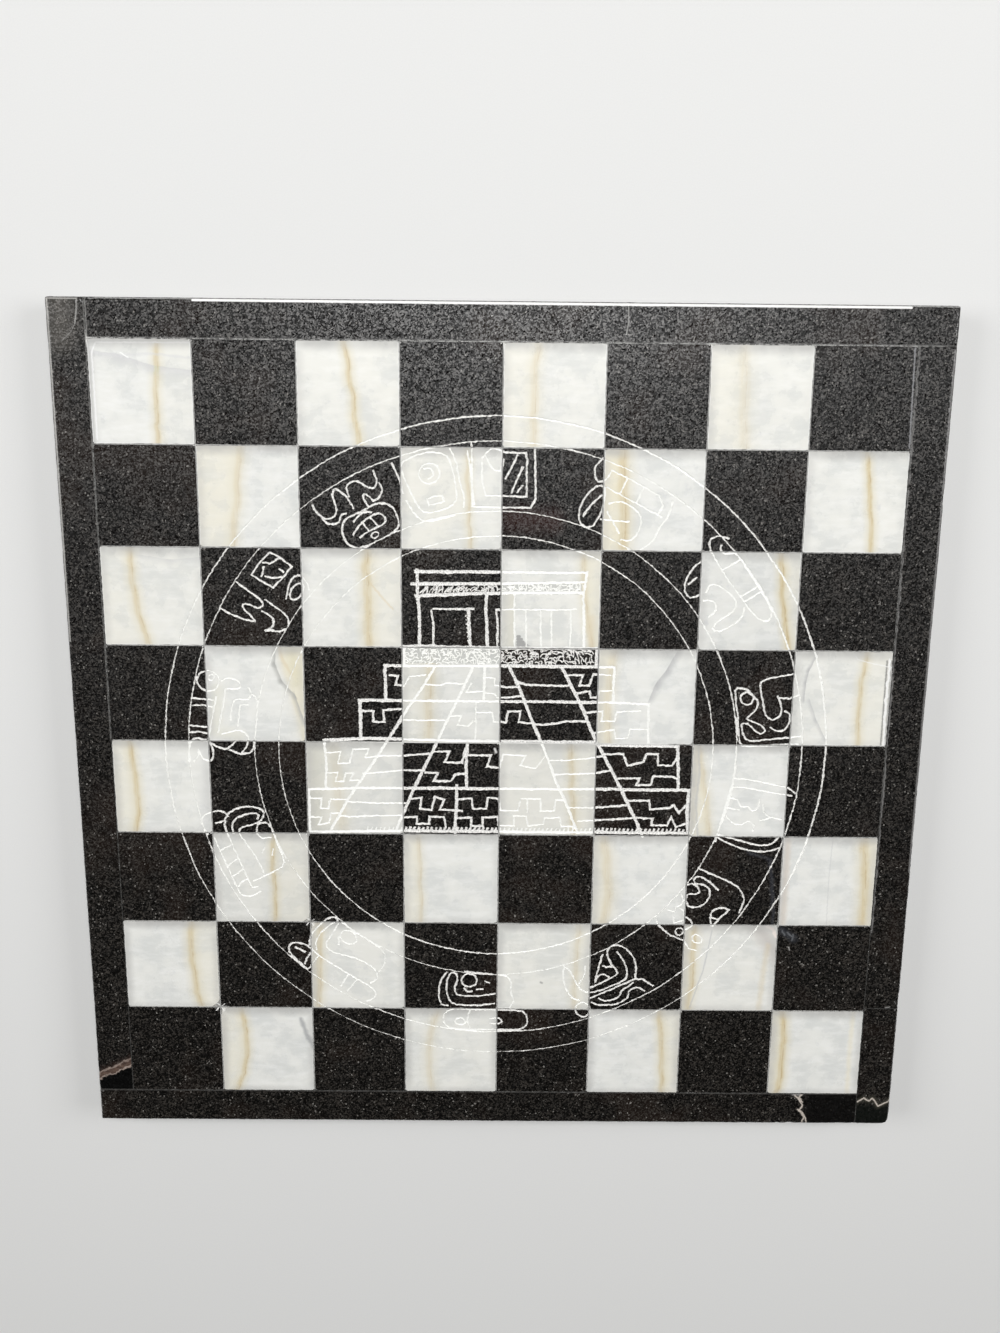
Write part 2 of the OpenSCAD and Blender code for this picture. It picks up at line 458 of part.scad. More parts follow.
            [[-1.5, -3.9], [0.8, -3.5], [3.1, -3.9], [3.1, -5.7], [-1.5, -5.7], [-1.5, -3.9]],
            [[-8.7, 7.9], [-8.4, 5.6], [-7.8, 2.9], [-7.8, -0.7]]
        ],
        [
            [[-6.6, 6], [-5.4, 8], [-1, 8.8], [3.6, 8.4], [6.8, 6.6], [7.4, 2.9], [7.4, -1.6], [6.6, -6],
                [3.5, -7.8], [-1.9, -7.8], [-4.3, -6], [-5.2, -2.4], [-6.2, 2], [-6.6, 6]],
            [[8.2, 8.2], [9, 3.8], [8.7, -1.2], [9, -5.4], [8, -8.6]],
            [[12.8, 6.6], [12.4, 1.6], [11.8, -3.6], [11.2, -8.4]],
            [[-7.4, -3], [-6.4, -6.4], [-4.6, -9.2], [-1.6, -10.4], [5, -10.2]],
            oval([0.8, 3], [3, 2.8]),
            [[-0.4, 4.6], [1.6, 4.2], [1.8, 2.2], [0.2, 1.6]]
        ]
    ]
];

// Every engraved line as [width, points in real size]
lines = concat(
    [for (points = heavy_lines) [heavy_line_w, points * step]],
    [for (points = fine_lines) [fine_line_w, points * step]],
    [for (band = scribble_bands, mark = band_marks(band)) [mark_w, mark * step]],
    [for (tick = ticks(cord_ticks)) [fine_line_w, tick * step]],
    [for (sign = signs, points = sign[1]) [fine_line_w, on_board(points, sign[0]) * step]],
    [for (sign = signs, points = sign[2]) [fine_line_w, on_board(smooth(points), sign[0]) * step]]
);

function square_name(file, rank) = str("white_square_", files[file - 1], rank);
function black_name(rank) = str("black_squares_rank_", rank);

// Lower edge of a file or rank, counted from 1
function seam_at(index) = (index - 1) * square_size - half_field;

function unit(v) = v / norm(v);
function left_of(v) = [-v.y, v.x];

// A closed oval made of straight sides
function oval(centre, radii) = [
    for (k = [0 : oval_sides])
        let (turn = 360 * k / oval_sides)
        centre + [radii.x * cos(turn), radii.y * sin(turn)]
];

// Points on a smooth curve through a row of points. A closed row comes back closed.
function smooth(points) =
    let (last = len(points) - 1, closed = norm(points[0] - points[last]) < same)
    concat(
        [
            for (i = [0 : last - 1], k = [0 : curve_steps - 1])
                let (
                    before = i > 0 ? points[i - 1] : closed ? points[last - 1] : points[0],
                    after = i < last - 1 ? points[i + 2] : closed ? points[1] : points[last]
                )
                curve_point(before, points[i], points[i + 1], after, k / curve_steps)
        ],
        [points[last]]
    );

function curve_point(a, b, c, d, t) =
    (2 * b + (c - a) * t + (2 * a - 5 * b + 4 * c - d) * t * t + (3 * b - a - 3 * c + d) * t * t * t) / 2;

// Moves a sign's points from its own centre to its place between the circles
function on_board(points, angle) = [
    for (p = points)
        circle_centre
            + (sign_radius + p.y) * [cos(angle), sin(angle)]
            + p.x * [sin(angle), -cos(angle)]
];

// Short marks that lie every way, in even rows across a band
function band_marks(band) = [
    for (row = [0 : band[4] - 1], k = [0 : band[5] - 1])
        let (
            stray = place_stray * sin([k, row] * place_turns),
            centre = [
                band[0] + (band[1] - band[0]) * (k + 0.5 + stray) / band[5],
                band[2] + (band[3] - band[2]) * (row + 0.5) / band[4]
            ],
            side = (k + row) % 2 == 0 ? 1 : -1,
            turn = side * mark_lean + lean_stray * sin([k, row] * lean_turns),
            reach = mark_l / 2 * [cos(turn), sin(turn)]
        )
        [centre - reach, centre + reach]
];

function ticks(row) = [
    for (x = [row[0] : row[4] : row[1]]) [[x, row[2]], [x + tick_lean, row[3]]]
];

// The two sides of a line of a given width, mitred where it bends
function side_points(points, half_w) =
    let (
        last = len(points) - 1,
        closed = norm(points[0] - points[last]) < same,
        along = [for (i = [0 : last - 1]) unit(points[i + 1] - points[i])]
    )
    [
        for (i = [0 : last])
            let (
                into = i > 0 ? along[i - 1] : closed ? along[last - 1] : along[0],
                out = i < last ? along[i] : closed ? along[0] : along[last - 1],
                bend = left_of(into + out) / (1 + into * out),
                end = closed ? [0, 0] : i == 0 ? -half_w * out : i == last ? half_w * into : [0, 0]
            )
            [points[i] + end + half_w * bend, points[i] + end - half_w * bend]
    ];

// The plan of one engraved line, with square ends, or as a loop where it closes on itself
module line_plan(width, points) {
    sides = side_points(points, width / 2);
    n = len(points);
    closed = norm(points[0] - points[n - 1]) < same;
    left = [for (s = sides) s[0]];
    right = [for (s = sides) s[1]];
    if (closed)
        polygon(
            concat([for (i = [0 : n - 2]) left[i]], [for (i = [0 : n - 2]) right[i]]),
            [[for (i = [0 : n - 2]) i], [for (i = [0 : n - 2]) n - 1 + i]]
        );
    else
        polygon(concat(left, [for (i = [n - 1 : -1 : 0]) right[i]]));
}

function reaches(points, low, high, margin) =
    min([for (p = points) p.x]) - margin < high.x
    && max([for (p = points) p.x]) + margin > low.x
    && min([for (p = points) p.y]) - margin < high.y
    && max([for (p = points) p.y]) + margin > low.y;

// Distance from a point to the nearest and to the furthest point of a box
function nearest(p, low, high) = norm([
    max(low.x - p.x, 0, p.x - high.x),
    max(low.y - p.y, 0, p.y - high.y)
]);
function furthest(p, low, high) = norm([
    max(abs(low.x - p.x), abs(high.x - p.x)),
    max(abs(low.y - p.y), abs(high.y - p.y))
]);

// The plan of all that is engraved on the box between two corners
module engraving_plan(low, high) {
    for (line = lines)
        if (reaches(line[1], low, high, line[0]))
            line_plan(line[0], line[1]);
    for (radius = circle_radii * step)
        if (nearest(circle_centre * step, low, high) < radius + circle_line_w
            && furthest(circle_centre * step, low, high) > radius - circle_line_w)
            translate(circle_centre * step)
                difference() {
                    circle(radius + circle_line_w / 2, $fn = circle_facets);
                    circle(radius - circle_line_w / 2, $fn = circle_facets);
                }
}

// One stone square with the engraving that crosses it
module stone_square(file, rank) {
    low = [seam_at(file) + half_seam, seam_at(rank) + half_seam];
    high = low + [stone_w, stone_w];
    difference() {
        translate([low.x, low.y, stone_z])
            cube([stone_w, stone_w, stone_t]);
        translate([0, 0, face_z - engraving_depth])
            linear_extrude(engraving_depth + clear)
                engraving_plan(low, high);
    }
}

module white_square(file, rank) {
    color(white_stone)
        stone_square(file, rank);
}

module black_squares(rank) {
    color(black_stone)
        for (file = [1 : count])
            if ((file + rank) % 2 == 0)
                stone_square(file, rank);
}

// Plan of the board with rounded corners, the near right one worn more
module board_plan(half, near_right_r) {
    radii = [corner_r, corner_r, corner_r, near_right_r];
    polygon([
        for (c = [0 : 3], k = [0 : corner_steps])
            let (
                across = [[1, 1], [-1, 1], [-1, -1], [1, -1]][c],
                turn = 90 * c + 90 * k / corner_steps
            )
            (half - radii[c]) * across + radii[c] * [cos(turn), sin(turn)]
    ]);
}

// Section of a board with bevels along its top and bottom edges
module board_section(half, bottom_z, top_z, bottom_bevel, top_bevel) {
    polygon([
        [half, bottom_z + bottom_bevel], [half, top_z - top_bevel],
        [half - round_share * top_bevel, top_z - round_share * top_bevel], [half - top_bevel, top_z],
        [top_bevel - half, top_z], [round_share * top_bevel - half, top_z - round_share * top_bevel],
        [-half, top_z - top_bevel], [-half, bottom_z + bottom_bevel],
        [bottom_bevel - half, bottom_z], [half - bottom_bevel, bottom_z]
    ]);
}

// A square board between two heights, eased all round
module eased_board(half, bottom_z, top_z, bottom_bevel, top_bevel) {
    intersection() {
        translate([0, 0, bottom_z])
            linear_extrude(top_z - bottom_z)
                board_plan(half, worn_corner_r);
        rotate([90, 0, 0])
            linear_extrude(2 * half + 2 * clear, center = true)
                board_section(half, bottom_z, top_z, bottom_bevel, top_bevel);
        rotate([90, 0, 90])
            linear_extrude(2 * half + 2 * clear, center = true)
                board_section(half, bottom_z, top_z, bottom_bevel, top_bevel);
    }
}

// Corners of the border strips in plan. Each runs on past one corner of the field to the next.
inner = half_field + half_seam;
meet = half_field - half_seam;
outer = half_board + clear;
strips = [
    [[-outer, -meet], [-inner, outer]],
    [[-meet, inner], [outer, outer]],
    [[inner, end_seam_y + half_seam], [outer, meet]],
    [[inner, -outer], [outer, end_seam_y - half_seam]],
    [[-outer, -outer], [meet, -inner]]
];

module strip_plan(k) {
    translate(strips[k][0])
        square(strips[k][1] - strips[k][0]);
}

module border_strip(k) {
    color(black_stone)
        intersection() {
            eased_board(half_board, stone_z, face_z, 0, arris);
            translate([0, 0, stone_z - clear])
                linear_extrude(stone_t + 2 * clear)
                    strip_plan(k);
        }
}

// The resin under the stones, with a thin wall up each seam
module resin_bed() {
    color(resin_colour) {
        translate([0, 0, bed_z])
            linear_extrude(bed_t)
                board_plan(half_board, worn_corner_r);
        intersection() {
            eased_board(half_board, bed_z, resin_top, 0, arris);
            translate([0, 0, stone_z - bed_t / 2])
                linear_extrude(stone_t + clear)
                    difference() {
                        square(2 * outer, center = true);
                        for (file = [1 : count], rank = [1 : count])
                            translate([seam_at(file) + half_seam, seam_at(rank) + half_seam])
                                square(stone_w);
                        for (k = [0 : len(strips) - 1])
                            strip_plan(k);
                    }
        }
    }
}

module backing_slab() {
    color(slab_colour)
        eased_board(half_board - slab_inset, slab_z, bed_z, slab_bevel, 0);
}

module felt_sheet() {
    color(felt_colour)
        linear_extrude(felt_t)
            board_plan(half_board - slab_inset - felt_inset, worn_corner_r);
}

for (rank = [1 : count], file = [1 : count])
    if ((file + rank) % 2 == 1)
        white_square(file, rank);
for (rank = [1 : count])
    black_squares(rank);
border_strip(0);  // border_left
border_strip(1);  // border_top
border_strip(2);  // border_right
border_strip(3);  // border_right_end
border_strip(4);  // border_bottom
resin_bed();
backing_slab();
felt_sheet();
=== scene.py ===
# %% [markdown]
# # A stone chessboard
# The board is stones on a thin resin bed: sixty-four squares of black marble and white onyx, five
# strips of the same marble round them, a cast slab underneath and felt below that. Its sizes come
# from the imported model, which this script loads as a fixed frame. What is left to do here is how
# the stones look: their grain and veins, the hand-cut picture, the chips and the felt.
# Lengths are in metres, as in the frame. A value that is easier to read in millimetres is written
# as a number times MM.

import math
import random
from functools import reduce

import bmesh
import bpy
from mathutils import Matrix, Vector, noise
from mathutils.bvhtree import BVHTree
from mathutils.geometry import delaunay_2d_cdt


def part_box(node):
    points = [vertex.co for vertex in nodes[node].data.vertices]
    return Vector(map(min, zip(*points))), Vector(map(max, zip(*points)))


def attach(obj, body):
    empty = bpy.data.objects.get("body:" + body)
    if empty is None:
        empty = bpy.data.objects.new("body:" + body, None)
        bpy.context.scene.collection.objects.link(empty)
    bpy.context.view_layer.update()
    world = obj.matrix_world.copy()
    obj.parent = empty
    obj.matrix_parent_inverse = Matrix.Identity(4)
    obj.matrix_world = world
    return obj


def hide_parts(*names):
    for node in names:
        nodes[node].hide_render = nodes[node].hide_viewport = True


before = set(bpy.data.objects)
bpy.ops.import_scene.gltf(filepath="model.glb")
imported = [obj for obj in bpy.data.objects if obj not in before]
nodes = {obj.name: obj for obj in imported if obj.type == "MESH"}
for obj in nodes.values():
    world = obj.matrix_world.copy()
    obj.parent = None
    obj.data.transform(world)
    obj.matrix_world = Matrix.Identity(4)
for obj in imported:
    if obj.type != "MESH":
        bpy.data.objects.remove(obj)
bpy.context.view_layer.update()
scene = bpy.context.scene

MM = 0.001
FILES = "abcdefgh"
face_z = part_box("border_left")[1].z
stone_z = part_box("border_left")[0].z
half_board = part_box("border_left")[1].y
square_low, square_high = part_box("white_square_b1")
stone_w = square_high.x - square_low.x
square_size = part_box("white_square_d1")[0].x / 2 - square_low.x / 2
seam_w = square_size - stone_w
half_field = 4 * square_size
print(f"board {2 * half_board / MM:.1f} mm, face at {face_z / MM:.2f} mm")
print(f"squares {square_size / MM:.2f} mm, seams {seam_w / MM:.2f} mm")

# %% [markdown]
# ## The camera
# The board was photographed from almost straight above, a little beyond its top edge, so that edge
# looks widest. A camera is fully told by the place of its lens, the way it looks and which way is
# up in the picture. Writing those three down as vectors and building the matrix from them is
# simpler to check than three Euler angles.

# %% Camera
EYE = Vector((-2.25, 96.65, 336.3)) * MM + Vector((0, 0, face_z))
LOOK = Vector((0.0063, -0.2125, -0.9771)).normalized()
PICTURE_UP = Vector((-0.0087, 0.9771, -0.2126))
FRAME_HEIGHT_PX = 1333
FOCAL_PX = 1166
SENSOR_MM = 36

lens = bpy.data.cameras.new("camera")
lens.sensor_fit = "VERTICAL"
lens.sensor_height = SENSOR_MM
lens.lens = SENSOR_MM * FOCAL_PX / FRAME_HEIGHT_PX
lens.clip_start = 5 * MM
camera = bpy.data.objects.new("camera", lens)
scene.collection.objects.link(camera)
side = LOOK.cross(PICTURE_UP).normalized()
turn = Matrix((side, side.cross(LOOK), -LOOK)).transposed()
camera.matrix_world = Matrix.Translation(EYE) @ turn.to_4x4()
scene.camera = camera
scene.view_settings.view_transform = "Standard"
print(f"lens {lens.lens:.1f} mm on a {SENSOR_MM} mm sensor")

# %% [markdown]
# ## A short way to wire nodes
# Shader trees and Geometry Nodes trees are wired alike. This small class adds a node, sets its
# fields and plugs its inputs in one call, so that the cells below read as a list of what is mixed
# with what. A value that is a socket is linked, and any other value is set on the socket itself.
# A finish is such a tree too: it starts with a Principled BSDF and the place on the board.

# %% Wiring helper
COLUMN_GAP = 190


class Wiring:
    """Adds nodes to one tree and joins them."""

    def __init__(self, tree):
        self.tree = tree
        self.column = 0

    def add(self, kind, plugs=None, **fields):
        node = self.tree.nodes.new(kind)
        node.location = (self.column * COLUMN_GAP, 0)
        self.column += 1
        for name, value in fields.items():
            setattr(node, name, value)
        for name, value in (plugs or {}).items():
            self.plug(node.inputs[name], value)
        return node

    def plug(self, socket, value):
        if isinstance(value, bpy.types.NodeSocket):
            self.tree.links.new(value, socket)
        else:
            socket.default_value = value

    def fill(self, node, plugs):
        """Plugs a node's inputs by name. Underscores in a name stand for spaces."""
        for label, value in plugs.items():
            self.plug(node.inputs[label.replace("_", " ")], value)
        return node.outputs

    def use(self, group, **plugs):
        """Places a node group and returns its outputs."""
        return self.fill(self.add("ShaderNodeGroup", node_tree=bpy.data.node_groups[group]), plugs)

    def math(self, operation, a, b=0.0, c=0.0, clamp=False):
        node = self.add("ShaderNodeMath", {0: a, 1: b, 2: c}, operation=operation, use_clamp=clamp)
        return node.outputs[0]

    def times(self, a, b, clamp=False):
        return self.math("MULTIPLY", a, b, clamp=clamp)

    def larger(self, a, b):
        return self.math("MAXIMUM", a, b)

    def vector(self, operation, a, b=(0, 0, 0)):
        node = self.add("ShaderNodeVectorMath", {0: a, 1: b}, operation=operation)
        return node.outputs["Value" if operation in ("LENGTH", "DOT_PRODUCT") else "Vector"]

    def scaled(self, vector, by):
        node = self.add("ShaderNodeVectorMath", {0: vector, "Scale": by}, operation="SCALE")
        return node.outputs["Vector"]

    def axes(self, vector):
        """The X, Y and Z of a vector."""
        return self.add("ShaderNodeSeparateXYZ", {0: vector}).outputs

    def joined(self, x, y, z):
        """The vector of three numbers."""
        return self.add("ShaderNodeCombineXYZ", {0: x, 1: y, 2: z}).outputs[0]

    def mix(self, factor, a, b, blend="MIX"):
        plugs = {"Factor": factor, 6: a, 7: b}
        node = self.add("ShaderNodeMix", plugs, data_type="RGBA", blend_type=blend)
        return node.outputs[2]

    def ramp(self, value, start, end, low=0.0, high=1.0, kind="SMOOTHSTEP"):
        """A step from low to high, smooth unless told otherwise, while value goes from start to end."""
        plugs = {0: value, 1: start, 2: end, 3: low, 4: high}
        return self.add("ShaderNodeMapRange", plugs, interpolation_type=kind).outputs[0]

    def noise(self, where, size, detail=2.0, roughness=0.5, distortion=0.0, output="Fac"):
        """Noise whose blobs are about size metres across."""
        plugs = {"Vector": where, "Scale": 1 / size, "Detail": detail}
        plugs.update({"Roughness": roughness, "Distortion": distortion})
        return self.add("ShaderNodeTexNoise", plugs).outputs[output]

    def bump(self, height, strength, depth, invert=False):
        plugs = {"Height": height, "Strength": strength, "Distance": depth}
        return self.add("ShaderNodeBump", plugs, invert=invert).outputs[0]


class Finish(Wiring):
    """A material with a Principled BSDF, which shows what is plugged into it."""

    def __init__(self, name, **plugs):
        self.material = bpy.data.materials.new(name)
        self.material.use_nodes = True
        self.material.node_tree.nodes.clear()
        super().__init__(self.material.node_tree)
        self.shader = self.add("ShaderNodeBsdfPrincipled")
        self.add("ShaderNodeOutputMaterial", {"Surface": self.shader.outputs[0]})
        self.place = self.add("ShaderNodeTexCoord").outputs["Object"]
        self.show(**plugs)

    def show(self, **plugs):
        self.fill(self.shader, plugs)


NUMBER, PLACE, TINT = 0.0, (0.0, 0.0, 0.0), (0.0, 0.0, 0.0, 0.0)


def shader_group(name, inputs, outputs):
    """A shader node group: {socket: a value of its kind}. Returns its wiring and its two ends."""
    group = bpy.data.node_groups.new(name, "ShaderNodeTree")
    kinds = {3: "NodeSocketVector", 4: "NodeSocketColor"}
    for in_out, sockets in (("INPUT", inputs), ("OUTPUT", outputs)):
        for label, value in sockets.items():
            kind = kinds[len(value)] if isinstance(value, tuple) else "NodeSocketFloat"
            group.interface.new_socket(label, in_out=in_out, socket_type=kind).default_value = value
    wires = Wiring(group)
    return wires, wires.add("NodeGroupInput").outputs, wires.add("NodeGroupOutput").inputs


# %% [markdown]
# ## Floor and light
# The board is shown on a plain pale sheet under soft studio light. Polished black stone shows what
# is above it: one big softbox beyond the top edge lays a veil of grey over the far ranks, which
# fades towards the near ones. Two softboxes at the sides keep the shadows soft.

# %% Floor
FLOOR_HALF = 4.0
bpy.ops.mesh.primitive_circle_add(vertices=96, radius=FLOOR_HALF, fill_type="NGON")
floor = bpy.context.object
floor.name = "floor"
paper = Finish("floor_paper", Roughness=0.85)
grain = paper.noise(paper.place, 0.4 * MM, detail=3)
paper.show(Base_Color=paper.mix(grain, (0.69, 0.69, 0.68, 1), (0.74, 0.74, 0.73, 1)))
floor.data.materials.append(paper.material)

# %% Lights
def softbox(name, place, aim, width, height, power):
    """A rectangular lamp at place that faces aim."""
    lamp = bpy.data.lights.new(name, "AREA")
    lamp.shape = "RECTANGLE"
    lamp.size, lamp.size_y = width, height
    lamp.energy = power
    holder = bpy.data.objects.new(name, lamp)
    holder.location = place
    holder.rotation_euler = (Vector(aim) - Vector(place)).to_track_quat("-Z", "Y").to_euler()
    scene.collection.objects.link(holder)


softbox("overhead_softbox", (0.03, 0.48, 1.05), (0, 0.02, 0), 0.60, 0.40, 9.5)
softbox("left_softbox", (-0.92, 0.28, 0.75), (0, 0, 0), 0.6, 0.6, 5.2)
softbox("right_softbox", (0.92, 0.28, 0.75), (0, 0, 0), 0.6, 0.6, 5.2)
world = bpy.data.worlds.new("studio")
world.use_nodes = True
background = world.node_tree.nodes["Background"]
background.inputs["Color"].default_value = (1.0, 0.99, 0.97, 1)
background.inputs["Strength"].default_value = 0.05
scene.world = world

# %% [markdown]
# ## Shared surface effects
# Three effects come back in several finishes, so each is a node group made once. Grain is the
# scatter of pale crystals in the marble. Crack draws a wobbling line between two points, for veins,
# cracks and smudges. Rim is the edge of a square: a fine bright line of painted highlight and a
# soft painted shade inside it.

# %% Grain group
wires, given, made = shader_group(
    "grain",
    {"Place": PLACE, "Size": 0.35 * MM},
    {"Lot": NUMBER, "Other Lot": NUMBER, "Tilt": PLACE},
)
shaken = wires.noise(given["Place"], 0.5 * MM, detail=1, output="Color")
shaken = wires.vector("ADD", given["Place"], wires.scaled(shaken, 0.35 * MM))
cell = wires.add("ShaderNodeTexVoronoi", {"Vector": shaken})
wires.plug(cell.inputs["Scale"], wires.math("DIVIDE", 1.0, given["Size"]))
lot = wires.add("ShaderNodeSeparateColor", {0: cell.outputs["Color"]}).outputs
wires.plug(made["Lot"], lot[0])
wires.plug(made["Other Lot"], lot[1])
lean = wires.vector("SUBTRACT", cell.outputs["Color"], (0.5, 0.5, 0.5))
wires.plug(made["Tilt"], wires.vector("MULTIPLY", lean, (1, 1, 0)))

# %% Crack group
wires, given, made = shader_group(
    "crack",
    {
        "Place": PLACE,
        "From": PLACE,
        "To": (0.0, 0.01, 0.0),
        "Width": 0.5 * MM,
        "Wobble": 0.5 * MM,
        "Wobble Size": 3 * MM,
    },
    {"Line": NUMBER, "Side": NUMBER},
)
flat_place = wires.vector("MULTIPLY", given["Place"], (1, 1, 0))
strays = wires.add("ShaderNodeTexNoise", {"Vector": flat_place, "Detail": 3.0})
wires.plug(strays.inputs["Scale"], wires.math("DIVIDE", 1.0, given["Wobble Size"]))
stray = wires.vector("SUBTRACT", strays.outputs["Color"], (0.5, 0.5, 0.5))
stray = wires.vector("MULTIPLY", wires.scaled(stray, given["Wobble"]), (2, 2, 0))
at = wires.vector("SUBTRACT", wires.vector("ADD", flat_place, stray), given["From"])
run = wires.vector("SUBTRACT", given["To"], given["From"])
along = wires.math(
    "DIVIDE", wires.vector("DOT_PRODUCT", at, run), wires.vector("DOT_PRODUCT", run, run), clamp=True
)
off = wires.vector("SUBTRACT", at, wires.scaled(run, along))
wires.plug(made["Line"], wires.ramp(wires.vector("LENGTH", off), given["Width"], 0.0))
across = wires.vector("CROSS_PRODUCT", run, at)
wires.plug(made["Side"], wires.axes(across)["Z"])

# %% Rim group
# painted shade: deep along the far side of every square, and along the others it grows with nearness
wires, given, made = shader_group(
    "rim",
    {"Place": PLACE, "Corner": PLACE, "Width": 0.35 * MM},
    {"Mask": NUMBER, "Painted Shade": NUMBER},
)
local = wires.axes(wires.vector("SUBTRACT", given["Place"], given["Corner"]))
height = wires.axes(given["Place"])["Y"]
wavy = wires.math("MULTIPLY_ADD", wires.noise(given["Place"], 1.5 * MM, detail=2), -0.4 * MM, 0.2 * MM)
x, y = (wires.math("ADD", local[axis], wavy) for axis in "XY")
right, far = (wires.math("SUBTRACT", stone_w, side) for side in (x, y))
# how deep a place lies behind a side, how strong the painted shade is at the near and the far end
# of the board, and how far it reaches
sides = (
    (far, 0.70, 0.70, 3.8 * MM),
    (x, 0.55, 0.28, 3.2 * MM),
    (right, 0.42, 0.04, 2.8 * MM),
    (y, 0.38, 0.0, 2.4 * MM),
)
shades = []
for depth, nearest, farthest, reach in sides:
    strength = wires.ramp(height, -half_field, half_field, nearest, farthest, kind="LINEAR")
    shades.append(wires.times(wires.ramp(depth, reach, 0.3 * MM), strength))
edge = wires.math("MINIMUM", wires.math("MINIMUM", x, right), y)
# the bright line is a painted highlight, stronger towards the far end, where the softbox lights it
lit = wires.ramp(height, -half_field, half_field, 0.1, 0.7)
wires.plug(made["Mask"], wires.times(wires.ramp(edge, given["Width"], 0.0), lit))
wires.plug(made["Painted Shade"], reduce(wires.larger, shades))
print("groups:", [g.name for g in bpy.data.node_groups])


# %% Marks along a path
def crack(wires, start, end, width, wobble, wobble_size):
    """A wobbling line between two points of the board, all in millimetres."""
    return wires.use(
        "crack",
        Place=wires.place,
        From=(start[0] * MM, start[1] * MM, 0),
        To=(end[0] * MM, end[1] * MM, 0),
        Width=width * MM,
        Wobble=wobble * MM,
        Wobble_Size=wobble_size * MM,
    )


def path_mask(wires, points, half_width, wobble):
    """How near a place is to a wobbling path through points, all in millimetres."""
    lines = [crack(wires, *ends, half_width, wobble, 3 * wobble) for ends in zip(points, points[1:])]
    return reduce(wires.larger, [line["Line"] for line in lines])


def moved(points, shift):
    """Points that are given from a corner, as points of the board."""
    return [(x + shift[0], y + shift[1]) for x, y in points]


def with_marks(wires, colour, marks, shift=(0, 0)):
    """Lays veins, cracks and smudges over a colour. shift moves their points, in millimetres."""
    for points, half_width, wobble, tint, strength in marks:
        mask = wires.times(path_mask(wires, moved(points, shift), half_width, wobble), strength)
        colour = wires.mix(mask, colour, (*tint, 1))
    return colour


def with_folds(wires, colour, folds, shift):
    """Lays creases over a colour: sharp on one side of their path and fading out on its left."""
    for points, reach, tint, strength in folds:
        points = moved(points, shift)
        for start, end in zip(points, points[1:]):
            crease = crack(wires, start, end, reach, 0.25, 2.5)
            length = math.dist(start, end) * MM
            on_left = wires.ramp(crease["Side"], 0, 0.12 * MM * length)
            mask = wires.times(wires.times(crease["Line"], strength, clamp=True), on_left)
            colour = wires.mix(mask, colour, (*tint, 1), "DARKEN")
    return colour


# %% [markdown]
# ## Black marble
# The black stone is a fine crystal rock: nearly black, slightly warm, with pale grains a third of a
# millimetre across. A Voronoi pattern gives each grain two lots of its own. The first decides how
# pale the grain is and how well it took the polish, which is a clear coat, and the second how rough
# it is. Polished crystals don't lie quite level either, so each grain also leans a little: that is
# what makes the stone glitter where it mirrors the softbox.

# %% Black marble material
BLACK = (0.0018, 0.0015, 0.0012, 1)
BROWN_BLACK = (0.010, 0.0062, 0.0044, 1)
PALE_GRAIN = (0.040, 0.034, 0.028, 1)
BRIGHT_GRAIN = (0.19, 0.18, 0.165, 1)
LEAN = 0.145


def black_marble(name):
    """Black marble. Returns its finish, the colour so far and the grains' polish."""
    wires = Finish(name, IOR=1.32, Coat_IOR=1.78, Coat_Roughness=0.35)
    place = wires.place
    warm = wires.ramp(wires.noise(place, 24 * MM, detail=3), 0.50, 0.68)
    colour = wires.mix(warm, BLACK, BROWN_BLACK)
    fine = wires.use("grain", Place=place, Size=0.38 * MM)
    patchy = wires.ramp(wires.noise(place, 4 * MM), 0.25, 0.7, 0.5, 1.0)
    pale = wires.times(wires.ramp(fine["Lot"], 0.45, 1.05), patchy)
    colour = wires.mix(pale, colour, PALE_GRAIN)
    colour = wires.mix(wires.ramp(fine["Other Lot"], 0.975, 1.0), colour, BRIGHT_GRAIN)
    polish = wires.ramp(fine["Lot"], 0.3, 1.0)
    rough = wires.math("MULTIPLY_ADD", wires.noise(place, 9 * MM, detail=4), 0.10, 0.17)
    upright = wires.add("ShaderNodeNewGeometry").outputs["Normal"]
    level = wires.ramp(wires.axes(upright)["Z"], 0.9, 0.99, 0.03, LEAN)
    leaning = wires.vector("ADD", upright, wires.scaled(fine["Tilt"], level))
    wires.show(
        Roughness=wires.math("MULTIPLY_ADD", fine["Other Lot"], 0.27, rough),
        Normal=wires.vector("NORMALIZE", leaning),
    )
    return wires, colour, polish


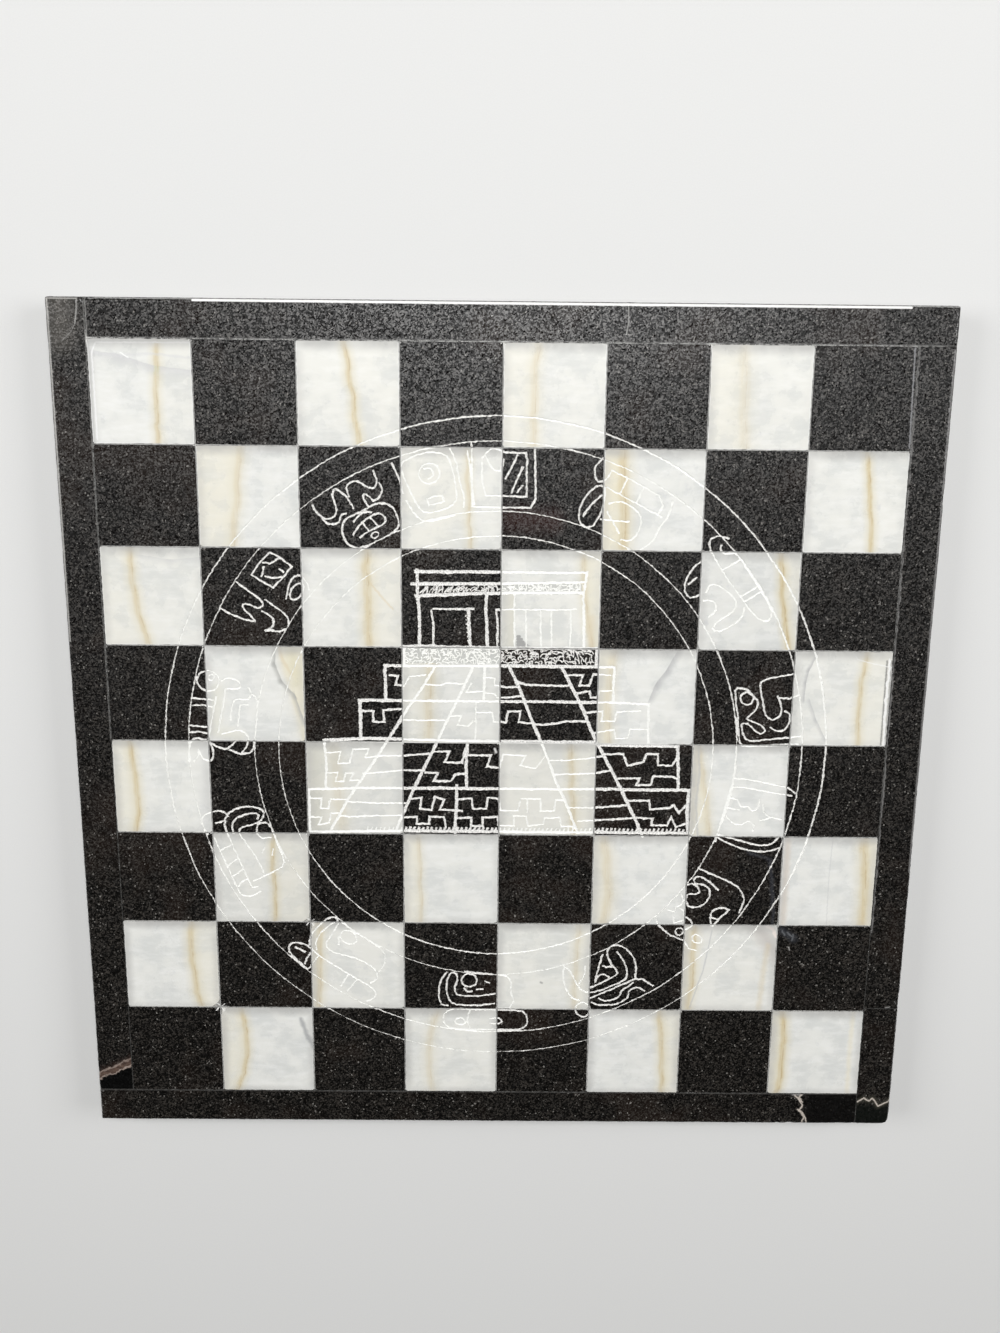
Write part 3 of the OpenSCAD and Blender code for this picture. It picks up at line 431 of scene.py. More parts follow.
# %% Marks in the black stones
# points and widths in millimetres on the board, then wobble, colour and strength
CREAM_CRACK, PALE_LINE = (0.56, 0.50, 0.44), (0.34, 0.335, 0.32)
END_CRACK = [
    (115.7, -119.0), (117.2, -118.2), (118.3, -117.4), (119.3, -118.2), (120.1, -118.4),
    (121.0, -117.4), (121.8, -118.4), (123.0, -120.3), (124.5, -119.5), (126.2, -118.6),
    (127.3, -117.2),
]
BOTTOM_CRACK = [
    (95.8, -116.2), (97.8, -118.6), (98.7, -120.2), (97.8, -121.9), (99.1, -123.2),
    (99.9, -124.8), (100.5, -127.0),
]
BOTTOM_BRANCH = [(97.3, -121.6), (98.4, -123.0), (99.5, -124.3), (98.9, -125.8), (98.9, -127.0)]
BLACK_MARKS = {
    "field": [
        ([(3.0, 67.0), (14.0, 66.5)], 6.5, 1.5, (0.030, 0.013, 0.011), 0.8),
        (
            [(76.3, -34.0), (83.3, -36.2), (84.5, -46.0), (85.4, -57.8)],
            1.1, 0.8, (0.040, 0.042, 0.050), 0.6,
        ),
        ([(88.4, -59.6), (90.4, -60.8), (92.2, -62.4)], 2.4, 1.2, (0.036, 0.038, 0.044), 0.8),
        ([(88.6, -59.8), (89.4, -61.2)], 0.5, 0.6, (0.15, 0.155, 0.165), 0.7),
        ([(90.2, -60.2), (91.4, -61.8)], 0.5, 0.6, (0.15, 0.155, 0.165), 0.7),
        ([(92.0, -61.0), (91.6, -63.2)], 0.45, 0.6, (0.13, 0.135, 0.145), 0.7),
        (
            [(114.9, 115.6), (115.1, 108.0), (115.3, 100.0), (115.6, 88.0)],
            0.40, 0.35, (0.30, 0.30, 0.31), 0.7,
        ),
        ([(90.8, -65.2), (91.1, -66.2)], 0.3, 0.1, (0.45, 0.44, 0.42), 0.8),
        ([(58.2, -14.0), (58.0, -22.0)], 0.25, 0.1, (0.55, 0.54, 0.52), 0.5),
        ([(-27.8, 18.2), (-26.7, 20.2), (-27.0, 22.6)], 0.25, 0.15, PALE_LINE, 0.6),
        ([(-1.4, -1.8), (-1.0, -2.8)], 0.6, 0.1, (0.75, 0.74, 0.72), 0.9),
    ],
    "border_left": [
        ([(-118.0, 126.5), (-118.25, 122.9), (-118.8, 119.8)], 0.3, 0.15, PALE_LINE, 0.9),
        ([(-118.8, 119.8), (-120.0, 117.5), (-122.8, 115.0)], 0.25, 0.2, PALE_LINE, 0.4),
        # painted reflections of the softboxes: grey lines along the eased outer edge and the far end
        ([(-126.3, 126.3), (-126.3, 30.0)], 0.45, 0.1, (0.42, 0.41, 0.39), 0.9),
        ([(-126.4, 126.4), (-118.2, 126.4)], 0.35, 0.1, (0.42, 0.41, 0.39), 0.9),
        # the pale line along the inner seam is partly crushed stone and partly painted highlight, so it
        # stops halfway down
        ([(-116.2, 127.0), (-116.2, 0.0)], 0.22, 0.15, PALE_LINE, 0.5),
    ],
    "border_top": [
        ([(34.5, 126.4), (34.7, 121.5), (34.1, 118.3)], 0.3, 0.12, PALE_LINE, 0.8),
        # the pale line along the inner seam: partly crushed stone, partly painted highlight
        ([(-115.8, 116.2), (127.0, 116.2)], 0.30, 0.2, PALE_LINE, 0.35),
        ([(-115.0, 126.6), (126.4, 126.6)], 0.25, 0.2, (0.45, 0.45, 0.44), 0.8),
        # painted highlight: the softbox's reflection along the eased far edge
        ([(-86.0, 126.3), (113.0, 126.3)], 0.48, 0.07, (0.93, 0.92, 0.90), 1.7),
        ([(-115.7, 127.0), (-115.7, 116.0)], 0.22, 0.15, PALE_LINE, 0.6),
    ],
    "border_right": [
        # the pale line along the inner seam: partly crushed stone, partly painted highlight, on the far
        # part only
        ([(116.2, 115.8), (116.3, -60.0)], 0.45, 0.9, (0.18, 0.175, 0.17), 0.9),
        # painted reflection along the eased outer edge, on the far part only
        ([(126.3, 115.0), (126.3, -40.0)], 0.45, 0.12, (0.19, 0.185, 0.18), 0.9),
        ([(122.7, -85.6), (124.0, -85.4)], 0.3, 0.1, PALE_LINE, 0.8),
    ],
    "border_right_end": [
        (END_CRACK, 1.6, 0.3, (0.070, 0.066, 0.050), 0.5),
        (END_CRACK, 0.38, 0.25, CREAM_CRACK, 1.0),
    ],
    "border_bottom": [
        (BOTTOM_CRACK, 0.42, 0.45, CREAM_CRACK, 1.0),
        ([(95.4, -116.3), (98.2, -116.3)], 0.7, 0.4, (0.34, 0.33, 0.32), 0.8),
        ([(98.3, -116.1), (97.4, -117.4), (98.5, -119.0)], 0.45, 0.4, CREAM_CRACK, 0.9),
        (BOTTOM_BRANCH, 0.4, 0.4, CREAM_CRACK, 0.9),
        ([(-127.0, -116.2), (115.8, -116.2)], 0.2, 0.15, (0.10, 0.095, 0.09), 0.6),
    ],
}


def brown_vein(wires, colour):
    """The brown vein across the near end of the left strip. Returns the colour and where it is black."""
    lines = []
    for start, end in (((-127.4, -112.6), (-115.4, -107.4)), ((-127.4, -110.7), (-115.4, -105.0))):
        edge = crack(wires, start, end, 0.55, 1.3, 1.5)
        lines.append((edge["Line"], wires.math("DIVIDE", edge["Side"], math.dist(start, end) * MM)))
    (low_line, above_low), (high_line, above_high) = lines
    band = wires.times(wires.ramp(above_low, 0, 0.2 * MM), wires.ramp(above_high, 0.3 * MM, -0.3 * MM))
    drawn_out = wires.vector("MULTIPLY", wires.place, (0.6, 1.8, 1))
    streaks = wires.noise(drawn_out, 1.2 * MM, detail=5, roughness=0.7)
    colour = wires.mix(wires.ramp(above_high, 2.5 * MM, 0, 0, 0.8), colour, (0.030, 0.018, 0.014, 1))
    below = wires.ramp(above_low, 0.1 * MM, -0.3 * MM)
    colour = wires.mix(below, colour, (0.0012, 0.0012, 0.0012, 1))
    streaked = wires.ramp(streaks, 0.35, 0.65)
    brown = wires.mix(streaked, (0.045, 0.026, 0.020, 1), (0.125, 0.083, 0.064, 1))
    colour = wires.mix(band, colour, brown)
    pale = wires.larger(low_line, wires.times(high_line, 0.75))
    pale = wires.times(pale, wires.ramp(streaks, 0.30, 0.55, 0.45, 1.0))
    return wires.mix(pale, colour, (0.36, 0.29, 0.25, 1)), below


# %% Scribbled bands of the temple
# the corners of the band under the roof and of the band at the temple's foot, in millimetres
BANDS = {
    "roof": [(-23.6, 45.0), (-5.4, 45.8), (23.6, 46.2), (23.6, 48.3), (0, 47.7), (-23.6, 47.4)],
    "terrace": [(-28.0, 24.2), (27.9, 24.2), (27.9, 28.8), (0, 28.6), (-28.0, 28.9)],
}
BAND_SQUARES = ("d5", "e5", "d6", "e6")


def round_trip(ring):
    """Each item of a ring with the one after it, and the last with the first."""
    return list(zip(ring, ring[1:] + ring[:1]))


def extent(points):
    """The lowest x and y of some points, and the highest."""
    return [tuple(pick(p[k] for p in points) for k in (0, 1)) for pick in (min, max)]


def in_shape(x, y, corners):
    """Whether a point lies in a polygon: a line from it to the right crosses an odd number of sides."""
    odd = False
    for (ax, ay), (bx, by) in round_trip(corners):
        if (ay > y) != (by > y) and x < ax + (y - ay) / (by - ay) * (bx - ax):
            odd = not odd
    return odd


def in_band(x, y):
    """Whether a place of the board lies in one of the two bands."""
    return any(in_shape(x / MM, y / MM, corners) for corners in BANDS.values())


def greyed(wires, colour):
    """Onyx that the cutting wheel has dulled in the bands."""
    axes = wires.axes(wires.place)
    bands = []
    for corners in BANDS.values():
        parts = []
        for axis, start, end in zip("XY", *extent(corners)):
            middle, half = (start + end) / 2 * MM, (end - start) / 2 * MM
            off = wires.math("ABSOLUTE", wires.math("SUBTRACT", axes[axis], middle))
            parts.append(wires.ramp(off, half, half - 0.3 * MM))
        bands.append(reduce(wires.times, parts))
    return wires.mix(wires.times(reduce(wires.larger, bands), 0.8), colour, (0.54, 0.545, 0.52, 1))


# %% Black marble for the field and for each strip
def marked_marble(part):
    """The black marble of the field or of one strip, with its own marks."""
    wires, colour, polish = black_marble(f"marble_{part}")
    axes = wires.axes(wires.place)
    calm = 0.0
    if part == "border_left":
        haze = path_mask(wires, [(-122.5, 126.0), (-123.5, 116.5)], 8.0, 0.8)
        colour = wires.mix(haze, colour, (0.055, 0.051, 0.045, 1), "ADD")
        colour, calm = brown_vein(wires, colour)
    if part == "border_bottom":
        calm = wires.ramp(axes["X"], 98 * MM, 101 * MM, 0.0, 0.9)
        colour = wires.mix(calm, colour, (0.0020, 0.0018, 0.0016, 1))
    if part == "border_right_end":
        calm = wires.ramp(axes["Y"], -118.5 * MM, -121.0 * MM, 0.0, 0.9)
        colour = wires.mix(calm, colour, (0.0030, 0.0040, 0.0030, 1))
    wires.show(
        Base_Color=with_marks(wires, colour, BLACK_MARKS[part]),
        Coat_Weight=wires.times(polish, wires.math("SUBTRACT", 1.0, calm)),
    )
    return wires.material


marbles = {part: marked_marble(part) for part in BLACK_MARKS}

# %% [markdown]
# ## White onyx
# Each white square is a slice of banded onyx, milky, with grey clouds and one amber vein. The veins
# are what tells the squares apart, so each square gets a vein of its own: where it stands at the
# square's bottom, middle and top, how wide and strong it is, and on which side the stone is creamy.
# One node group draws all that from named inputs, and a loop gives every square its own values.

# %% Onyx group
wires, given, made = shader_group(
    "onyx",
    {
        "Place": PLACE,
        "Corner": PLACE,
        "Bottom": 0.5,
        "Middle": 0.5,
        "Top": 0.5,
        "Width": 0.6 * MM,
        "Strength": 1.0,
        "Cream Left": 0.3,
        "Cream Right": 0.0,
        "Seed": 0.0,
    },
    {"Color": TINT, "Cloud": NUMBER},
)
axes = wires.axes(wires.vector("SUBTRACT", given["Place"], given["Corner"]))
t = wires.math("DIVIDE", axes["Y"], stone_w, clamp=True)
climb = wires.math("SUBTRACT", given["Top"], given["Bottom"])
straight = wires.math("MULTIPLY_ADD", climb, t, given["Bottom"])
mean = wires.times(wires.math("ADD", given["Top"], given["Bottom"]), 0.5)
bulge = wires.math("SUBTRACT", given["Middle"], mean)
arch = wires.times(wires.times(t, wires.math("SUBTRACT", 1.0, t)), 4.0)
vein_x = wires.math("MULTIPLY_ADD", bulge, arch, straight)
own_place = wires.vector("ADD", given["Place"], wires.joined(0.0, 0.0, given["Seed"]))
up_only = wires.vector("MULTIPLY", own_place, (0.15, 1, 1))
sway = wires.math("MULTIPLY_ADD", wires.noise(up_only, 7 * MM, detail=3), 2.4 * MM, -1.2 * MM)
from_vein = wires.math("SUBTRACT", axes["X"], wires.math("ADD", wires.times(vein_x, MM), sway))
away = wires.math("ABSOLUTE", from_vein)
clouds = wires.noise(own_place, 8 * MM, detail=6, roughness=0.55)
wisps = wires.noise(wires.vector("MULTIPLY", own_place, (0.5, 1.6, 1)), 3 * MM, detail=4, roughness=0.6)
colour = wires.mix(wires.ramp(clouds, 0.34, 0.62), (0.68, 0.69, 0.67, 1), (0.785, 0.785, 0.75, 1))
colour = wires.mix(wires.ramp(wisps, 0.42, 0.70, 0.0, 0.5), colour, (0.86, 0.86, 0.84, 1))
smudge = wires.noise(wires.vector("ADD", own_place, (0.5, 0, 0)), 5 * MM, detail=4, roughness=0.7)
colour = wires.mix(wires.ramp(smudge, 0.60, 0.78, 0.0, 0.55), colour, (0.60, 0.61, 0.62, 1))
CREAM = (0.79, 0.745, 0.60, 1)
left = wires.times(wires.ramp(from_vein, 0.8 * MM, -1.2 * MM), given["Cream Left"])
right = wires.times(wires.ramp(from_vein, -0.8 * MM, 1.2 * MM), given["Cream Right"])
cream = wires.times(wires.larger(left, right), wires.ramp(clouds, 0.3, 0.6, 0.6, 1.0))
colour = wires.mix(cream, colour, CREAM)
halo_w = wires.math("MULTIPLY_ADD", given["Width"], 2.6, 1.7 * MM)
halo = wires.times(wires.ramp(away, halo_w, 0.0), wires.times(given["Strength"], 0.85))
colour = wires.mix(halo, colour, (0.72, 0.665, 0.51, 1))
bands = wires.noise(wires.vector("MULTIPLY", own_place, (6, 0.35, 1)), 2.2 * MM, detail=3)
band_w = wires.math("MULTIPLY_ADD", given["Width"], 1.3, 0.5 * MM)
band = wires.ramp(away, band_w, wires.times(band_w, 0.1))
band = wires.times(band, wires.ramp(bands, 0.25, 0.6, 0.45, 1.0))
band = wires.times(wires.times(band, given["Strength"]), 0.85, clamp=True)
colour = wires.mix(band, colour, (0.62, 0.515, 0.31, 1))
core_on = wires.ramp(wires.noise(up_only, 3.5 * MM, detail=3), 0.40, 0.62)
beside = wires.math("ABSOLUTE", wires.math("SUBTRACT", from_vein, 0.25 * MM))
core = wires.times(wires.ramp(beside, 0.30 * MM, 0.02 * MM), core_on)
core = wires.times(wires.times(core, given["Strength"]), 0.5, clamp=True)
colour = wires.mix(core, colour, (0.42, 0.29, 0.14, 1))
wires.plug(made["Color"], colour)
wires.plug(made["Cloud"], clouds)

# %% Veins of the squares
# bottom, middle and top in millimetres from the square's left side, width, strength, cream on the
# left and on the right of the vein
VEINS = {
    "a8": (18.6, 18.7, 19.8, 0.6, 0.7, 0.0, 0.1),
    "c8": (17.2, 15.4, 13.4, 0.6, 0.8, 0.1, 0.15),
    "e8": (9.3, 8.7, 9.9, 0.9, 0.45, 0.35, 0.1),
    "g8": (10.6, 9.8, 9.3, 1.4, 0.3, 0.35, 0.1),
    "b7": (9.2, 11.3, 12.2, 1.0, 0.45, 0.55, 0.0),
    "d7": (20.0, 19.4, 18.8, 0.5, 0.5, 0.25, 0.1),
    "f7": (6.2, 5.9, 5.3, 1.3, 0.8, 0.9, 0.0),
    "h7": (20.0, 18.5, 16.7, 0.5, 0.9, 0.05, 0.1),
    "a6": (12.8, 9.6, 8.6, 0.8, 0.65, 0.25, 0.1),
    "c6": (19.2, 19.0, 18.8, 1.1, 0.75, 0.05, 0.35),
    "e6": (26.6, 24.2, 23.7, 0.8, 0.5, 0.1, 0.6),
    "g6": (26.8, 24.2, 23.0, 0.6, 1.0, 0.0, 0.4),
    "b5": (28.0, 24.6, 21.2, 1.0, 0.12, 0.0, 0.9),
    "d5": (7.6, 8.0, 8.9, 1.3, 0.45, 0.25, 0.05),
    "f5": (3.7, 3.2, 4.9, 1.0, 0.4, 0.6, 0.0),
    "h5": (20.6, 19.8, 21.0, 0.6, 0.7, 0.1, 0.3),
    "a4": (5.2, 6.8, 5.2, 0.7, 0.8, 0.5, 0.05),
    "c4": (10.5, 9.4, 8.0, 1.6, 0.25, 0.25, 0.1),
    "e4": (22.4, 22.0, 21.2, 0.8, 0.55, 0.2, 0.35),
    "g4": (5.8, 4.4, 1.6, 0.8, 0.45, 0.7, 0.0),
    "b3": (18.0, 18.1, 18.0, 0.5, 0.75, 0.1, 0.35),
    "d3": (5.2, 5.1, 4.8, 0.5, 0.4, 0.45, 0.0),
    "f3": (3.8, 4.8, 2.9, 1.4, 0.45, 0.4, 0.0),
    "h3": (26.0, 25.6, 24.8, 1.3, 0.8, 0.0, 0.6),
    "a2": (22.8, 20.9, 20.8, 0.9, 0.75, 0.0, 0.4),
    "c2": (1.4, 2.4, 2.8, 0.8, 0.6, 0.5, 0.1),
    "e2": (24.2, 24.6, 24.9, 0.7, 0.35, 0.15, 0.3),
    "g2": (2.1, 3.0, 2.8, 0.8, 0.7, 0.5, 0.1),
    "b1": (4.4, 7.8, 6.1, 0.7, 0.75, 0.5, 0.0),
    "d1": (8.8, 7.3, 10.5, 1.0, 0.35, 0.1, 0.1),
    "f1": (24.1, 23.3, 22.0, 0.7, 0.75, 0.0, 0.5),
    "h1": (2.7, 4.1, 3.0, 0.8, 1.0, 0.6, 0.0),
}

# %% Marks of the squares
# squares that the cutting has dulled, and their tone
DULLED, DULL_TONE = ("c4", "e4", "d5", "b3", "g6"), 0.94
GREY, DARK, AMBER = (0.50, 0.51, 0.52), (0.22, 0.22, 0.22), (0.68, 0.58, 0.40)
# further marks of some squares: points from the square's lower left corner, half width and wobble
# in millimetres, colour and strength
SQUARE_MARKS = {
    "a8": [
        ([(0, 25), (8, 24.3), (18, 24.6), (29, 23.7)], 0.7, 0.6, (0.66, 0.66, 0.66), 0.5),
        # grey band: painted shade on the bevelled left and far edges of a8
        ([(0.4, 0), (0.4, 28), (29, 28.5)], 0.7, 0.2, (0.55, 0.55, 0.54), 0.7),
        ([(1.3, 1), (1.2, 25), (2.4, 27.6), (29, 27.8)], 0.35, 0.3, (0.95, 0.95, 0.94), 1.2),
        ([(9.2, 24.9), (10.4, 24.1), (11.2, 23.6)], 0.35, 0.3, (0.93, 0.93, 0.92), 1.0),
    ],
    "c6": [([(20, 18.7), (22.5, 15.5), (26.3, 11.2)], 0.5, 0.4, AMBER, 0.55)],
    "e6": [
        ([(26.5, 9), (26.5, 0)], 2.0, 0.5, AMBER, 0.35),
        *[
            ([(4.9, y), (6.9 - 0.13 * y * y, y)], 0.6, 0.05, (0.37, 0.37, 0.36), 2.5)
            for y in (0.2, 1.0, 1.8, 2.6, 3.4)
        ],
    ],
    "b5": [
        ([(3.0, 16), (2.0, 3), (9.0, 1)], 3.5, 0.8, (0.72, 0.71, 0.62), 0.6),
        ([(25.5, 27), (27, 18)], 3.0, 0.8, (0.66, 0.62, 0.44), 0.5),
        ([(21.7, 28.5), (22.8, 24.5), (25.2, 20.5)], 0.9, 0.4, AMBER, 0.5),
    ],
    "h5": [
        ([(27.1, 26), (27.2, 0)], 0.45, 0.2, (0.17, 0.17, 0.165), 0.85),
        ([(28.5, 26), (28.5, 0)], 0.45, 0.2, (0.17, 0.17, 0.165), 0.85),
        ([(27.8, 26.5), (27.85, 0)], 0.50, 0.9, (0.95, 0.95, 0.93), 1.6),
        ([(16.5, 29), (18.4, 26.4), (22, 25.4), (29, 24.0)], 0.3, 0.3, (0.90, 0.90, 0.88), 0.7),
    ],
    "a2": [([(27.9, 0.3), (28.9, 1.3)], 1.0, 0.1, (0.20, 0.185, 0.175), 1.0)],
    "c4": [([(2.5, 29), (2.5, 0)], 5.0, 0.8, (0.56, 0.55, 0.48), 0.6)],
    "a4": [([(27.5, 29), (27.0, 0)], 3.2, 0.8, (0.66, 0.66, 0.65), 0.45)],
    "g4": [
        ([(1.5, 29), (2.2, 20), (1.6, 10), (2.6, 0)], 0.6, 0.5, GREY, 0.6),
        ([(0.5, 29), (0.5, 0)], 1.8, 0.5, (0.62, 0.60, 0.54), 0.5),
    ],
    "h3": [
        ([(15, 29), (14.6, 15), (14.9, 0)], 0.3, 0.3, GREY, 0.4),
        ([(1.3, 29), (1.3, 0)], 1.8, 0.4, (0.72, 0.64, 0.55), 0.7),
    ],
    "g2": [
        ([(22.5, 29), (29, 19)], 5.0, 0.8, (0.54, 0.51, 0.48), 0.8),
        ([(25.6, 28.5), (27.4, 27.6), (28.4, 25.2)], 0.75, 0.3, (0.95, 0.85, 0.78), 1.5),
        ([(8.5, 27), (6.4, 14), (2.7, 1)], 0.4, 0.4, GREY, 0.6),
        ([(26.2, 22), (25.4, 15), (24.4, 0)], 1.6, 0.6, AMBER, 0.4),
    ],
    "b1": [([(25, 25), (26.8, 19.5), (29, 15)], 1.3, 0.6, (0.30, 0.31, 0.32), 0.7)],
    "h1": [([(25.5, 29), (25.3, 15), (25.6, 0)], 1.4, 0.6, (0.80, 0.72, 0.52), 0.4)],
    "e2": [([(13.5, 9.1), (13.9, 8.9)], 0.6, 0.1, DARK, 0.7)],
}

# %% Creases of the squares, and their onyx
# creases: points of the sharp side, with the shade on their left, then how far it reaches, colour
# and strength
SQUARE_FOLDS = {
    "a8": [([(28.5, 20.4), (18, 21.6), (9, 24.4), (1, 25.6)], 3.5, (0.60, 0.60, 0.60), 0.6)],
    "e6": [
        ([(9.2, 0.2), (7.4, 1.6)], 1.8, (0.45, 0.45, 0.44), 1.0),
        ([(3.7, 0.0), (3.9, 15.0)], 6.0, (0.68, 0.665, 0.59), 1.0),
    ],
    "b5": [
        (
            [(29.0, 5.5), (26.2, 14.0), (22.4, 18.6), (20.6, 23.5), (20.8, 28.5)],
            1.8, (0.42, 0.42, 0.40), 0.75,
        ),
    ],
    "f5": [([(22.7, 28.0), (19.8, 22.7), (16.9, 18.5), (15.3, 14.3)], 2.6, (0.48, 0.48, 0.48), 0.7)],
    "h5": [
        ([(3.4, 14.0), (3.6, 19.0), (4.4, 23.0), (6.6, 28.0)], 1.5, (0.45, 0.45, 0.45), 0.7),
        ([(10.5, 2.0), (7.4, 8.0), (5.2, 13.6)], 1.5, (0.50, 0.50, 0.50), 0.6),
    ],
    "a6": [([(28.5, 26.0), (20.0, 25.2), (12.0, 26.4)], 2.4, (0.60, 0.60, 0.59), 0.5)],
}


def file_and_rank(square):
    """The file and rank of a square such as c4, counted from 0."""
    return FILES.index(square[0]), int(square[1]) - 1


def corner_of(file, rank):
    """Lower left corner of the stone on a square, files and ranks counted from 0."""
    x, y = (count * square_size - half_field + seam_w / 2 for count in (file, rank))
    return Vector((x, y, 0))


def white_onyx(square):
    """The onyx of one square, with its own vein."""
    bottom, middle, top, width, strength, cream_left, cream_right = VEINS[square]
    file, rank = file_and_rank(square)
    corner = corner_of(file, rank)
    wires = Finish(f"white_onyx_{square}", IOR=1.5)
    place = wires.place
    stone = wires.use(
        "onyx",
        Place=place,
        Corner=corner,
        Bottom=bottom,
        Middle=middle,
        Top=top,
        Width=width * MM,
        Strength=strength,
        Cream_Left=cream_left,
        Cream_Right=cream_right,
        Seed=0.1 * (file + 8 * rank),
    )
    rim = wires.use("rim", Place=place, Corner=corner)
    tone = DULL_TONE if square in DULLED else 1.0
    colour = wires.mix(1.0, stone["Color"], (tone, tone, 0.995 * tone, 1), "MULTIPLY")
    colour = with_folds(wires, colour, SQUARE_FOLDS.get(square, []), corner / MM)
    colour = with_marks(wires, colour, SQUARE_MARKS.get(square, []), corner / MM)
    # painted shade along the square's edges, in patches, then the rim's painted highlight
    patches = wires.noise(place, 10 * MM, detail=3, roughness=0.7)
    shade = wires.times(rim["Painted Shade"], wires.ramp(patches, 0.30, 0.62, 0.70, 1.12))
    colour = wires.mix(shade, colour, (0.42, 0.415, 0.40, 1))
    colour = wires.mix(rim["Mask"], colour, (0.90, 0.90, 0.88, 1))
    if square in BAND_SQUARES:
        colour = greyed(wires, colour)
    wires.show(
        Base_Color=colour,
        Roughness=wires.math("MULTIPLY_ADD", stone["Cloud"], 0.2, 0.18),
        Normal=wires.bump(wires.noise(place, 0.5 * MM, detail=3), 0.1, 0.02 * MM),
    )
    return wires.material


onyxes = {square: white_onyx(square) for square in VEINS}
print(f"{len(onyxes)} white squares, each with its own vein")

# %% [markdown]
# ## The picture, cut by hand
# The frame holds the picture as clean grooves. On the real board a small wheel cut them by hand:
# every edge strays a tenth of a millimetre, and the floor of a groove is crushed white stone. A
# bump can't do that, so each stone is made again as a mesh. Its groove edges are read from the
# frame, cut into steps of about half a millimetre, pushed about by noise, and filled with a
# constrained Delaunay triangulation, which keeps every edge it is given. The same field of noise
# moves all stones, so a line still meets itself across a seam.

# %% Reading the groove edges of a stone
STEP = 0.45 * MM
CHIP_BAND = 0.5 * MM
TOUCH = 0.002 * MM
# how upright a face's normal is when the face counts as level
LEVEL = 0.9
# limits for the way of a sharp corner: of the square of its summed sides, and of the way itself
SHARPEST, LONGEST_MITRE = 0.4, 1.6
groove_z = sorted({round(v.co.z, 6) for v in nodes["white_square_d5"].data.vertices})[-2]
print(f"grooves are {(face_z - groove_z) / MM:.2f} mm deep")


def merged_copy(node):
    """A CAD node's mesh with its loose triangles joined, as a bmesh."""
    mesh = bmesh.new()
    mesh.from_mesh(nodes[node].data)
    bmesh.ops.remove_doubles(mesh, verts=mesh.verts, dist=0.001 * MM)
    mesh.normal_update()
    return mesh


def rim_edges(mesh, low, high):
    """The groove edges on the stone between two corners: both ends as (x, y), and the way inwards."""
    rims = []
    for edge in mesh.edges:
        a, b = (v.co for v in edge.verts)
        if min(a.z, b.z) < face_z - 0.01 * MM:
            continue
        middle = (a + b) / 2
        if not (low.x < middle.x < high.x and low.y < middle.y < high.y):
            continue
        flat = [f.normal.z > LEVEL for f in edge.link_faces]
        on_side = any(
            abs(a[axis] - side[axis]) < TOUCH and abs(b[axis] - side[axis]) < TOUCH
            for axis in (0, 1)
            for side in (low, high)
        )
        if flat.count(True) == 1 and not on_side and not in_band(middle.x, middle.y):
            wall = edge.link_faces[flat.index(False)].normal
            rims.append(((a.x, a.y), (b.x, b.y), Vector((wall.x, wall.y))))
    return rims


def mitred(ways):
    """Where a corner goes when each of its sides moves one step inwards."""
    total = sum(ways, Vector((0, 0)))
    move = total * len(ways) / max(total.length_squared, SHARPEST)
    return move * min(1, LONGEST_MITRE / max(move.length, 0.001))


# %% How wide the lines really are
# The frame's grooves are cut with one width for each kind of line. The wheel was pressed harder on
# some lines than on others: the real widths of the circles are given at their right, far, left and
# near side, in millimetres, like the frame's own width and how far the other lines draw in.
CIRCLE_CENTRE = (-1, -3)
CIRCLE_GROOVE_W = 0.7
CIRCLES = {
    65.1: (0.37, 0.32, 0.23, 0.41),
    72.2: (0.42, 0.29, 0.26, 0.21),
    91.9: (0.45, 0.29, 0.34, 0.24),
    98.9: (0.56, 0.45, 0.38, 0.15),
}
# on black and on white stone: onyx is harder on the wheel
TEMPLE_THINNING, SIGN_THINNING = (0.04, 0.14), (0.10, 0.15)
THINNEST = 0.08


def thinning(x, y):
    """How far the edge of a groove stands in from the frame's at a place, in millimetres."""
    across, up = x / MM - CIRCLE_CENTRE[0], y / MM - CIRCLE_CENTRE[1]
    away = math.hypot(across, up)
    on_white = (int(x // square_size) + int(y // square_size)) % 2
    thin = (TEMPLE_THINNING if away < min(CIRCLES) - 1 else SIGN_THINNING)[on_white]
    for radius, (right, far, left, near) in CIRCLES.items():
        if abs(away - radius) < 0.65 * CIRCLE_GROOVE_W:
            share = (across / away) ** 2
            width = share * (right if across > 0 else left) + (1 - share) * (far if up > 0 else near)
            thin = (CIRCLE_GROOVE_W - width) / 2
    slow = noise.noise(Vector((x, y, 0.2)) / (6 * MM))
    quick = noise.noise(Vector((x, y, 0.8)) / (0.8 * MM))
    return min(thin + 0.06 * slow + 0.24 * quick, max(thin, CIRCLE_GROOVE_W / 2 - THINNEST))


# %% How a hand strays
# noise_vector takes its seed from the clock unless it is given one, and then every run would cut
# the stones another way
HAND_SEED = 3
noise.seed_set(HAND_SEED)


def hand(x, y):
    """How far the cutting wheel strays at a point of the board."""
    slow = noise.noise_vector(Vector((x, y, 0)) / (9 * MM))
    quick = noise.noise_vector(Vector((x, y, 0.3)) / (1.5 * MM))
    rough = noise.noise_vector(Vector((x, y, 0.6)) / (0.6 * MM))
    stray = (0.16 * slow + 0.09 * quick + 0.12 * rough) * MM
    return stray.x, stray.y


# how round the corners of the stones are worn, in millimetres, and the crossings of the seams where
# they are worn much rounder; two primes make a seed of a corner's place
PRIMES = (7919, 104729)
CORNER_RADII = [0.15, 0.3, 0.3, 0.5, 0.7, 1.0]
ROUND_CORNERS = {(0, 116): 1.5, (58, 116): 1.3, (-116, 116): 1.6}
